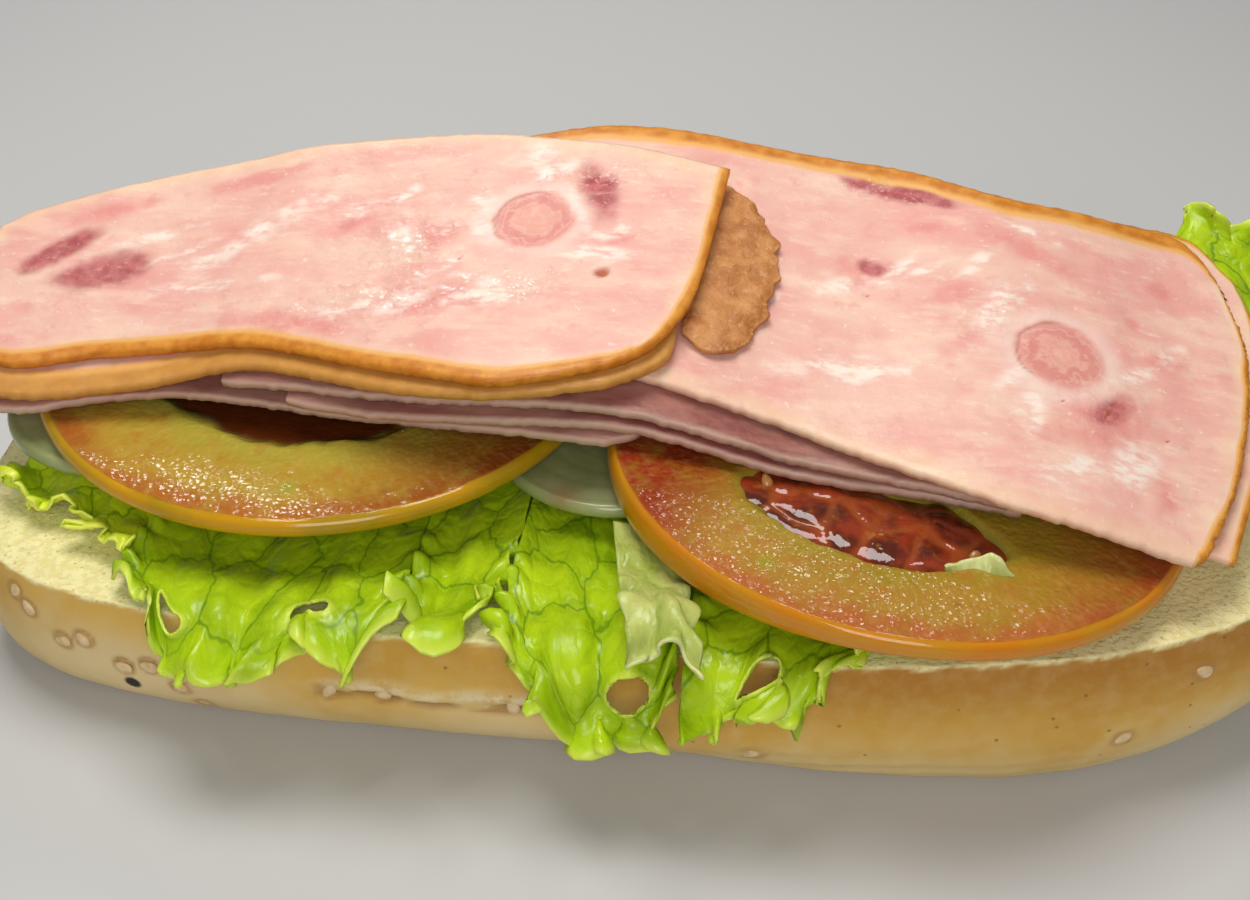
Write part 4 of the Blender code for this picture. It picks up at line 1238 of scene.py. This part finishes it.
# %% Plans of the slices
HAM = {
    "ham_low_1": {
        "front": [
            (-96, -11), (-88, -17.2), (-74.7, -13.9), (-60.8, -11.8), (-31.6, -14), (-3, -16),
        ],
        "back": [(-96, 9), (-72, 22), (-45, 28), (-10, 27.5), (1, 27)],
        "left": [(-96, -11), (-99, -1), (-96, 9)],
        "right": [(-3, -16), (1.7, -13), (1.5, 6), (1, 27)],
        "level": [(-100, 0), (10, 0)], "size": (98, 40),
    },
    "ham_low_2": {
        "front": [(-47.5, -13.5), (-32, -15.3), (1.7, -15.3), (23, -16.7), (52, -18.2)],
        "back": [(-47.5, 29), (-20, 32), (3, 33), (30, 34), (52.5, 30)],
        "left": [(-47.5, -13.5), (-48.5, 8), (-47.5, 29)],
        "right": [(52, -18.2), (54.5, 5), (52.5, 30)],
        "level": [(-60, 1), (4, 1), (16, 0), (60, 0)], "size": (100, 46),
    },
    "ham_low_3": {
        "front": [(-57, -12), (-32, -14), (1.6, -14.7), (23, -16.3), (50, -19.5)],
        "back": [(-57, 27), (-20, 34), (3, 35), (30, 36), (54, 31)],
        "left": [(-57, -12), (-59, 8), (-57, 27)],
        "right": [(50, -19.5), (56.5, 4), (54, 31)],
        "level": [(-60, 1), (-49, 2), (4, 2), (16, 1), (60, 1)], "size": (108, 46),
    },
    "ham_right_under": {
        "front": [(46, -15), (64, -19), (79, -21.5)],
        "back": [(46, 34), (63, 36.5), (76, 37.8), (83, 29.5)],
        "left": [(46, -15), (44, 8), (46, 34)],
        "right": [(79, -21.5), (84, -2), (85.2, 20), (83, 29.5)],
        "level": [(40, 2), (57, 2), (77, 0), (90, 0)], "size": (38, 54),
    },
    "ham_right_top": {
        "front": [(-27, -6), (2.3, -10.5), (22.6, -13.5), (48.4, -22.9), (61, -24.3), (74.5, -25)],
        "back": [
            (-27, 36), (-12, 39.3), (3, 39), (30, 39.4), (48, 33.7), (63, 34), (74.5, 34.4),
            (79.8, 28),
        ],
        "left": [(-27, -6), (-31, 15), (-27, 36)],
        "right": [(74.5, -25), (80.2, -9.6), (83.1, 12.4), (79.8, 28)],
        "level": [(-40, 3), (4, 3), (16, 2), (32, 2), (43, 3), (57, 3), (77, 1), (90, 1)],
        "size": (108, 54),
    },
    "ham_left_under": {
        "front": [
            (-97, -12), (-87.5, -16.5), (-71, -14.3), (-52.7, -11.3), (-30, -16.9), (-16.5, -17.5),
            (1.4, -13.4),
        ],
        "back": [(-96, 10), (-72, 24.5), (-45, 30.5), (-10, 27.5), (3.8, 24)],
        "left": [(-97, -12), (-100, -2), (-96, 10)],
        "right": [(1.4, -13.4), (4.8, -7.5), (4.2, 4), (3.8, 24)],
        "level": [(-100, 1), (-72, 1), (-59, 2), (-49, 3), (-42, 3), (-31, 4), (10, 4)],
        "size": (102, 42),
    },
    "ham_left_top": {
        "front": [
            (-97, -9), (-88, -13.2), (-74.8, -10.2), (-53, -9.4), (-30, -15.5), (-16.4, -17.3),
            (1.5, -12),
        ],
        "back": [(-98.5, 12.8), (-94, 16.9), (-72.4, 27.6), (-45, 33.1), (-10.7, 30), (8.9, 26)],
        "left": [(-97, -9), (-101, 1), (-98.5, 12.8)],
        "right": [(1.5, -12), (6.3, -0.7), (7.6, 8), (8.9, 26)],
        "level": [(-100, 2), (-72, 2), (-59, 3), (-49, 4), (-42, 4), (-31, 5), (10, 5)],
        "size": (106, 44),
    },
}
HAM_THICKNESS = 1.65
HAM_PITCH = 2.05


# Places along x, in millimetres, over which a slice averages the heap under it
SAG_OVER = (-7, -3.5, 0, 3.5, 7)


def ham_slice(plan, lift=0.0, thickness=HAM_THICKNESS):
    """Place on a slice: its plan laid on the heap. A limp slice bridges the steps under it,
    so the heap's height is averaged along x."""
    outline = patch(plan["front"], plan["back"], plan["left"], plan["right"])

    def place(u, v):
        spot = outline(u, v)
        x, y = spot[..., 0], spot[..., 1]
        level = np.mean([between(x + dx, plan["level"]) for dx in SAG_OVER], axis=0)
        return stack(x, y, ham_rest(x, y) + level * HAM_PITCH + lift + thickness / 2)

    return place


# %% Spots on the slices
# (x, y, half length, half width, turn) of each dark, pink or fat spot
DARK_SPOTS = {
    "ham_left_top": [
        (-79.8, 5.0, 7.6, 4.0, 0.42), (-88.0, 8.6, 7.6, 2.6, 0.80), (-9.2, 19.6, 3.2, 6.8, 0.35),
    ],
    "ham_right_top": [
        (62.9, -4.2, 4.6, 2.4, 0.85), (33.6, 33.4, 10.5, 2.6, -0.26), (38.5, 31.6, 4.6, 1.8, -0.3),
        (30.1, 17.6, 2.4, 1.7, -0.6),
    ],
    "ham_low_3": [(5.0, -13.0, 14.0, 2.5, -0.05), (19.0, -15.0, 5.0, 2.0, -0.1)],
    "ham_low_2": [(10.0, -14.0, 22.0, 3.0, -0.05)],
}
PINK_SPOTS = {
    "ham_left_top": [
        (-45.5, 13.2, 6.0, 1.8, 0.5), (-31.0, 9.5, 4.0, 5.0, 0.2), (-48.0, -6.2, 12.0, 2.6, -0.08),
        (-52.0, -5.4, 6.5, 2.6, 0.0), (-26.0, -3.0, 7.0, 3.0, 0.2), (-82.0, 17.5, 8.0, 2.2, 0.5),
        (-62.0, 25.0, 9.0, 2.0, 0.3), (-5.0, 9.5, 3.0, 1.6, 0.4), (-17.5, 8.0, 6.5, 3.6, 0.3),
        (-90.0, -3.0, 3.0, 2.0, 0.3),
    ],
    "ham_right_top": [
        (41.3, 12.6, 4.8, 2.9, 0.55), (29.6, 17.0, 6.0, 4.4, -0.4), (53.9, 22.4, 11.0, 2.6, -0.45),
        (62.0, -5.8, 10.0, 5.6, 0.62), (71.1, 22.5, 2.6, 2.2, 0.4), (71.2, 8.3, 3.4, 2.2, 0.2),
        (38.0, 26.0, 4.0, 2.0, 0.2), (43.0, 3.0, 5.0, 2.4, 0.7), (70.0, -16.0, 2.4, 4.0, -0.2),
        (66.5, 14.0, 1.6, 1.4, 0.0),
    ],
    "ham_right_under": [(79.0, 0.0, 4.0, 14.0, 0.0)],
}
FAT_SPOTS = {
    "ham_left_top": [
        (-24.5, 13.0, 2.6, 8.0, 0.25), (-12.6, 17.5, 1.3, 7.0, 0.5), (-58.0, 13.0, 17.0, 3.0, 0.72),
        (-34.8, 9.5, 5.0, 2.6, -0.6), (-43.0, 17.5, 4.0, 2.4, 0.5), (-18.6, 27.0, 4.0, 4.0, 0.1),
        (-28.0, 5.0, 5.0, 1.6, 0.9), (-37.0, -3.0, 9.0, 3.0, 0.1), (-16.0, 24.0, 5.5, 2.4, 0.3),
        (-6.0, 10.5, 4.0, 1.4, 0.4), (-74.0, 12.5, 9.0, 1.3, 0.45), (-70.0, 9.0, 9.0, 0.9, 0.5),
        (-38.5, 19.5, 3.6, 2.0, 0.5), (-65.0, 2.0, 13.0, 1.2, 0.1), (-22.0, -2.0, 8.0, 3.0, 0.2),
        (-8.0, 7.0, 9.0, 1.6, 0.0),
    ],
    "ham_right_top": [
        (47.0, 9.0, 3.0, 7.0, -0.2), (52.5, -7.0, 2.6, 6.0, -0.3), (66.5, 4.0, 7.0, 1.3, 0.6),
        (49.0, 13.5, 6.0, 2.2, 0.5), (38.0, 17.5, 5.0, 1.0, 0.5), (58.0, -16.0, 8.0, 2.6, 0.2),
        (50.0, -2.0, 4.0, 2.0, 0.9), (52.0, 27.0, 5.0, 1.0, -0.3), (45.0, 19.0, 6.0, 1.4, 0.9),
        (26.0, 13.0, 5.5, 2.2, 0.3), (65.0, -13.0, 3.5, 6.0, -0.4), (34.0, 17.0, 5.0, 1.3, 1.0),
        (28.0, -2.0, 14.0, 2.6, 0.1), (58.0, -15.0, 6.0, 2.0, 0.4), (12.0, 8.0, 9.0, 2.0, 0.2),
        (72.0, 10.0, 3.0, 1.6, 0.9),
    ],
}
# (x, y, half length, half width, turn) of small dark pits and slits
PITS = {
    "ham_left_top": [(-6.2, 3.0, 1.35, 1.25, 0.0), (-26.5, 5.0, 0.3, 0.3, 0)],
    "ham_right_top": [
        (62.5, -4.6, 0.4, 1.5, -0.5), (63.4, -2.2, 0.3, 0.8, -0.6), (56.5, -4.6, 0.25, 0.25, 0),
        (70.5, -6.2, 0.4, 0.3, 0), (37.0, 31.6, 0.5, 0.45, 0), (8.0, 21.0, 0.3, 0.3, 0),
        (30.0, 12.0, 0.25, 0.25, 0),
    ],
}
# (x, y, half length, half width) of the rounds where a muscle was cut across
WHORLS = {"ham_left_top": (-17.4, 13.2, 5.6, 5.6), "ham_right_top": (56.3, 3.6, 5.9, 5.9)}
# (x, y, half length, half width, turn) of the wet areas that glint
WET_SPOTS = {
    "ham_left_top": [
        (-37.0, -3.0, 17.0, 6.5, 0.1), (-34.0, 9.0, 8.0, 7.0, 0.3), (-10.0, 22.0, 9.0, 4.0, 0.3),
        (-16.0, 0.0, 12.0, 4.0, 0.2),
    ],
    "ham_right_top": [
        (62.0, -5.0, 9.0, 6.0, 0.6), (46.0, 10.0, 8.0, 6.0, 0.4), (71.0, 8.0, 4.0, 3.0, 0.0),
        (30.0, 33.0, 10.0, 3.0, -0.3),
    ],
}


def spots(points, places, seed, wobble=0.22, soft=0.75):
    """Soft warped ovals: 1 in their middles, 0 outside. soft is how wide their borders are."""
    x, y = points[:, 0], points[:, 1]
    warp = wobble * flat_noise(x, y, 4.5, seed, 3)
    found = np.zeros(len(x))
    for cx, cy, long, short, turn in places:
        a = (x - cx) * np.cos(turn) + (y - cy) * np.sin(turn)
        b = (y - cy) * np.cos(turn) - (x - cx) * np.sin(turn)
        found = np.maximum(found, 1 - ramp(np.hypot(a / long, b / short) + warp, 1.1 - soft, 1.15))
    return found


def whorl_marks(points, name, seed):
    """Share of the radius in the round of a slice, 2 outside it, and the thin slit beside it."""
    far = np.full(len(points), 2.0)
    if name not in WHORLS:
        return far, np.zeros(len(points))
    cx, cy, long, short = WHORLS[name]
    x, y = points[:, 0] - cx, points[:, 1] - cy
    share = np.hypot(x / long, y / short) + 0.06 * flat_noise(x, y, 3, seed, 2)
    to_left = ramp(-x + 0.4 * y, 0.5, 3.5)
    return np.minimum(share, 2.0), 0.6 * bump(share - 1.0, 0.05) * to_left


# %% Ham finish
def ham_look():
    look = Look("cooked_ham", 0.4, Specular_IOR_Level=0.3)
    look.let_light_in(0.2, 0.002, (1.0, 0.4, 0.25))
    clouds = look.span(look.noise(14, 4, (0.7, 1.3, 1.0)), 0.34, 0.68)
    streaks = look.span(look.noise(6, 6, (0.6, 1.7, 1.0), offset=3.0), 0.46, 0.66)
    meat = look.mix(clouds, (0.86, 0.545, 0.445), (0.82, 0.40, 0.345))
    meat = look.tint(meat, streaks, 0.5, (0.91, 0.66, 0.51))
    veins = look.span(look.noise(3.5, 6, offset=9.0, roughness=0.65), 0.54, 0.70)
    meat = look.tint(meat, veins, 0.5, (0.79, 0.35, 0.30))
    grip = look.span(look.noise(2.6, 5, offset=2.0), 0.25, 0.60, 0.55, 1.0)
    pink = look.math("MULTIPLY", look.mark("pink"), grip)
    meat = look.tint(meat, pink, 0.8, (0.77, 0.28, 0.25))
    feather = look.noise(2.2, 7, (0.7, 1.4, 1.0), offset=5.0, roughness=0.6)
    feather = look.span(feather, 0.40, 0.60, 0.12, 1.0)
    meat = look.tint(meat, look.mark("fat"), feather, (0.94, 0.79, 0.69))
    specks = look.span(look.noise(1.0, 3, offset=7.0), 0.62, 0.76)
    meat = look.tint(meat, specks, 0.5, (0.95, 0.80, 0.68))
    fibres = look.noise(1.8, 6, (0.45, 1.5, 1.0), offset=12.0, roughness=0.6)
    meat = look.tint(meat, look.span(fibres, 0.56, 0.74), 0.45, (0.95, 0.74, 0.62))
    bruised = look.span(look.noise(2.0, 4), 0.35, 0.65)
    dark = look.mix(bruised, (0.42, 0.09, 0.10), (0.60, 0.19, 0.18))
    pale_dots = look.span(look.noise(0.9, 4, offset=1.0), 0.60, 0.74, 0, 0.5)
    dark = look.mix(pale_dots, dark, (0.84, 0.52, 0.44))
    firm = look.span(look.noise(2.6, 3, offset=2.0), 0.25, 0.60, 0.8, 1.0)
    meat = look.tint(meat, look.mark("dark"), firm, dark)
    whorl = look.mark("whorl")
    wound = look.math("ADD", whorl, look.span(look.noise(3.0, 4), 0.2, 0.8, -0.3, 0.3))
    halo = look.math("MULTIPLY", look.span(whorl, 0.9, 1.15), look.span(whorl, 1.7, 1.15))
    meat = look.tint(meat, halo, 0.55, (0.93, 0.70, 0.62))
    core = look.mix(look.span(wound, 0.2, 0.8), (0.80, 0.38, 0.30), (0.70, 0.25, 0.22))
    layers = look.span(look.math("SINE", look.math("MULTIPLY", wound, 17.0)), 0.2, 1.0, 0, 0.55)
    core = look.mix(layers, core, (0.84, 0.46, 0.38))
    flecks = look.span(look.noise(1.6, 5, offset=3.0), 0.54, 0.70, 0, 0.5)
    core = look.mix(flecks, core, (0.88, 0.56, 0.46))
    meat = look.mix(look.span(whorl, 1.2, 0.70, 0.0, 0.9), meat, core)
    cream = look.mix(look.span(look.noise(3), 0.3, 0.7), (0.88, 0.60, 0.38), (0.90, 0.68, 0.46))
    meat = look.mix(look.mark("cream"), meat, cream)
    # the low slices' own duller pink, darkened as painted shade under the slices above
    low_streaks = look.span(look.noise(5, 4, (0.4, 1.5, 1.5)), 0.38, 0.62)
    low = look.mix(low_streaks, (0.21, 0.058, 0.045), (0.37, 0.155, 0.12))
    meat = look.mix(look.mark("low"), meat, low)
    meat = look.mix(look.mark("low_edge"), meat, (0.66, 0.45, 0.36))
    baked = look.span(look.noise(2.4, 4), 0.3, 0.7)
    brown = look.mix(baked, (0.56, 0.18, 0.014), (0.74, 0.31, 0.04))
    brown = look.tint(brown, look.mark("tan"), 0.6, (0.60, 0.33, 0.09))
    brown = look.mix(look.span(look.mark("rind"), 0.45, 1.0), (0.84, 0.45, 0.14), brown)
    meat = look.mix(look.span(look.mark("rind"), 0.0, 0.4), meat, brown)
    meat = look.mix(look.mark("slit"), meat, (0.46, 0.11, 0.055))
    look.colour(meat)
    dry = look.span(look.noise(4, 4), 0.35, 0.65, 0.30, 0.5)
    wet = look.mark("wet")
    gloss = look.math("MULTIPLY", wet, 0.24)
    look.put(look.shader.inputs["Roughness"], look.math("SUBTRACT", dry, gloss))
    beads = look.math("MULTIPLY", wet, look.noise(1.5, 2, roughness=0.4))
    look.bumps((look.noise(3.2, 4), 0.10), (look.noise(0.8, 3), 0.05), (beads, 0.34))
    return look.material


# Which edges have rind, as widths in millimetres: front, back, left, right
RIND = {
    "ham_left_top": (3.0, 0.0, 0.0, 1.8),
    "ham_left_under": (5.5, 0.0, 0.0, 5.0),
    "ham_right_top": (0.0, 4.6, 0.0, 1.6),
    "ham_right_under": (0.0, 1.8, 0.0, 1.2),
}


def edge_distances(place, u, v):
    """Distance in millimetres from the front, back, left and right edges."""
    step = 0.01
    u_low, u_high = np.maximum(u - step, 0), np.minimum(u + step, 1)
    v_low, v_high = np.maximum(v - step, 0), np.minimum(v + step, 1)
    across = np.linalg.norm(place(u_high, v) - place(u_low, v), axis=1) / (u_high - u_low)
    along = np.linalg.norm(place(u, v_high) - place(u, v_low), axis=1) / (v_high - v_low)
    return v * along, (1 - v) * along, u * across, (1 - u) * across


# Corners that are cut round: which end of u and v, and the radius in millimetres
ROUND_CORNERS = {
    "ham_left_top": [(1, 0, 6.0)],
    "ham_left_under": [(1, 0, 6.0)],
    "ham_right_top": [(1, 0, 2.5), (1, 1, 4.0)],
}


def round_corner(u, v, size, at_u, at_v, radius):
    """Pull the points near one corner of the grid onto a quarter circle."""
    a = radius - np.abs(at_u - u) * size[0]
    b = radius - np.abs(at_v - v) * size[1]
    near = (a > 0) & (b > 0)
    pull = np.where(near, np.maximum(a, b) / np.maximum(np.hypot(a, b), 1e-6), 1.0)
    new_u = at_u + (1 - 2 * at_u) * (radius - a * pull) / size[0]
    new_v = at_v + (1 - 2 * at_v) * (radius - b * pull) / size[1]
    return np.where(near, new_u, u), np.where(near, new_v, v)


FINE_CELL, COARSE_CELL = 0.45, 0.6


def make_ham_slice(name, plan, look, seed):
    """One dressed slice. The two top slices, which show whole, have the finer squares."""
    place = ham_slice(plan)
    cell = FINE_CELL if name.endswith("top") else COARSE_CELL
    across, along = (int(length / cell) for length in plan["size"])
    shape, u, v = grid_uv(across, along)
    front, back, left, right = edge_distances(place, u, v)
    nearest = np.minimum(np.minimum(front, back), np.minimum(left, right))
    for corner in ROUND_CORNERS.get(name, []):
        u, v = round_corner(u, v, plan["size"], *corner)
    points = place(u, v)
    low = name.startswith("ham_low")
    x, y = points[:, 0], points[:, 1]
    wander = flat_noise(x, y, 7, seed, 2)
    ragged = 0.22 * flat_noise(x, y, 1.1, seed + 1)
    ragged += (0.25 if low else 0.12) * flat_noise(x, y, 3.5, seed + 6, 2)
    crumbly = 0.7 * (name == "ham_right_top") * np.abs(flat_noise(y, x, 0.9, seed + 7, 2))
    dark = spots(points, DARK_SPOTS.get(name, []), seed + 2, 0.22, 0.62)
    pink = spots(points, PINK_SPOTS.get(name, []), seed + 8, 0.4, 0.9)
    fat = spots(points, FAT_SPOTS.get(name, []), seed + 3, 0.45, 0.9)
    pits = spots(points, PITS.get(name, []), seed + 9, 0.1, 0.5)
    whorl, slit = whorl_marks(points, name, seed + 5)
    points[:, 2] += (0.14 * wander + 0.08 * flat_noise(x, y, 2.4, seed + 4)) * ramp(nearest, 0, 3)
    points[:, 2] -= 0.12 * dark + 0.18 * slit + 0.35 * pits
    wet = spots(points, WET_SPOTS.get(name, []), seed + 10, 0.4, 0.9)
    points[:, 1] += ragged * (1 - ramp(nearest, 0, 1.4))
    points[:, 0] -= crumbly * (1 - ramp(right, 0, 1.0))
    rind = np.zeros(len(u))
    for width, away in zip(RIND.get(name, (0, 0, 0, 0)), (front, back, left, right)):
        if width:
            rind = np.maximum(rind, 1 - ramp(away + 0.25 * wander, width * 0.3, width))
    cream = (1 - ramp(nearest + 1.2 * wander, 0.8, 4.5)) * (1 - rind) * 0.6
    marks = {
        "dark": dark, "pink": pink, "fat": fat, "rind": rind, "cream": cream * (not low),
        "slit": np.maximum(slit, pits), "whorl": whorl, "wet": wet,
        # low: painted shade on the lower slices
        "low": np.full(len(u), 0.85 * low), "low_edge": 0.75 * low * (1 - ramp(nearest, 0.1, 0.6)),
        "tan": np.full(len(u), name == "ham_left_under"),
    }
    made = object_from("dressed_" + name, shape, points, marks)
    thicken(made, HAM_THICKNESS, 0.72 + 0.28 * ramp(nearest, 0, 0.9))
    dress(made, look, "ham", name)


ham_finish = ham_look()
for number, (name, plan) in enumerate(HAM.items()):
    make_ham_slice(name, plan, ham_finish, 70 + 6 * number)


# %% The scrap of rind
def scrap_look():
    look = Look("crumbly_rind", 0.55)
    tone = look.span(look.noise(3.2, 4), 0.35, 0.65)
    body = look.mix(tone, (0.44, 0.15, 0.03), (0.62, 0.27, 0.08))
    crumbs = look.span(look.noise(0.9, 3), 0.55, 0.75, 0, 0.6)
    look.colour(look.mix(crumbs, body, (0.76, 0.44, 0.17)))
    look.bumps((look.noise(2.4, 4), 0.35), (look.noise(0.6, 3), 0.12))
    return look.material


SCRAP = {
    "front": [(5.6, -3.2), (9.5, -5.2), (13, -4)],
    "back": [(5.6, 23), (8.6, 27), (11.8, 25.5)],
    "left": [(5.6, -3.2), (5.4, 10), (5.6, 23)],
    "right": [(13, -4), (16.4, 4), (17, 16), (11.8, 25.5)],
    "level": [(0, 3), (4, 3), (16, 2), (32, 2)],
}
SCRAP_THICKNESS = 1.2
SCRAP_WIDTH, SCRAP_LENGTH = 10, 28
scrap_place = ham_slice(SCRAP, HAM_PITCH, SCRAP_THICKNESS)
shape, u, v = grid_uv(46, 100)
points = scrap_place(u, v)
nearest = np.minimum(np.minimum(u, 1 - u) * SCRAP_WIDTH, np.minimum(v, 1 - v) * SCRAP_LENGTH)
points[:, 0] += 0.7 * line_noise(points[:, 1], 2.0, 91, 2) * (u - 0.2) * 1.4
points[:, 2] += 0.35 * flat_noise(points[:, 0], points[:, 1], 3.5, 92, 2)
scrap = object_from("rind_scrap", shape, points, {})
thicken(scrap, SCRAP_THICKNESS, 0.45 + 0.55 * ramp(nearest, 0, 1.5))
dress(scrap, scrap_look(), "ham_rind", "ham_rind_scrap")

# %% [markdown]
# ## Studio
# The camera looks down on the front from 38 degrees, close up, so that both ends just
# leave the picture. A big soft light above gives the ham its bright top, and one in front
# opens the shadows. Two small ones behind put the gloss and the sparks on the wet parts.

# %% Floor, lights and camera
def matte(name, colour, roughness):
    made = bpy.data.materials.new(name)
    made.use_nodes = True
    shader = made.node_tree.nodes["Principled BSDF"]
    shader.inputs["Base Color"].default_value = (*colour, 1)
    shader.inputs["Roughness"].default_value = roughness
    return made


LIGHTS_AIM = Vector((0, 0, 0.03))
WARM_WHITE = (1.0, 0.98, 0.94)


def soft_light(name, place, size, power, colour=(1, 1, 1)):
    """A square light at a place in metres, with its width in metres and its power in watts."""
    data = bpy.data.lights.new(name, "AREA")
    data.size = size
    data.energy = power
    data.color = colour
    light = bpy.data.objects.new(name, data)
    light.location = place
    aim = LIGHTS_AIM - light.location
    light.rotation_euler = aim.to_track_quat("-Z", "Y").to_euler()
    bpy.context.scene.collection.objects.link(light)


FLOOR_HALF_WIDTH = 1.5
shape = bmesh.new()
bmesh.ops.create_grid(shape, x_segments=1, y_segments=1, size=FLOOR_HALF_WIDTH)
floor_points = np.array([v.co for v in shape.verts]) / MM
floor = object_from("floor", shape, floor_points, {})
floor.data.materials.append(matte("pale_floor", (0.60, 0.60, 0.60), 0.7))

soft_light("top_light", (-0.05, 0.05, 0.44), 0.22, 1.24, WARM_WHITE)
soft_light("front_light", (0.06, -0.42, 0.30), 0.24, 0.98, WARM_WHITE)
soft_light("back_light", (-0.20, 0.39, 0.34), 0.09, 0.32)
soft_light("spark_light", (0.07, 0.40, 0.37), 0.05, 0.10)
world = bpy.data.worlds.new("studio")
world.use_nodes = True
background = world.node_tree.nodes["Background"]
background.inputs["Color"].default_value = (1.0, 0.98, 0.95, 1)
background.inputs["Strength"].default_value = 0.16
bpy.context.scene.world = world
bpy.context.scene.view_settings.view_transform = "Standard"

CAMERA_AZIMUTH, CAMERA_ELEVATION = math.radians(8.4), math.radians(38)
CAMERA_TARGET = Vector((0, -0.0175, 0.0396))
CAMERA_DISTANCE = 0.229
level_part = math.cos(CAMERA_ELEVATION)
away = Vector((
    math.sin(CAMERA_AZIMUTH) * level_part, -math.cos(CAMERA_AZIMUTH) * level_part,
    math.sin(CAMERA_ELEVATION)))
camera = bpy.data.objects.new("camera", bpy.data.cameras.new("camera"))
camera.data.lens = 50
camera.data.sensor_width = 36
camera.data.clip_start = 0.01
camera.location = CAMERA_TARGET + away * CAMERA_DISTANCE
camera.rotation_euler = away.to_track_quat("Z", "Y").to_euler()
bpy.context.scene.collection.objects.link(camera)
bpy.context.scene.camera = camera
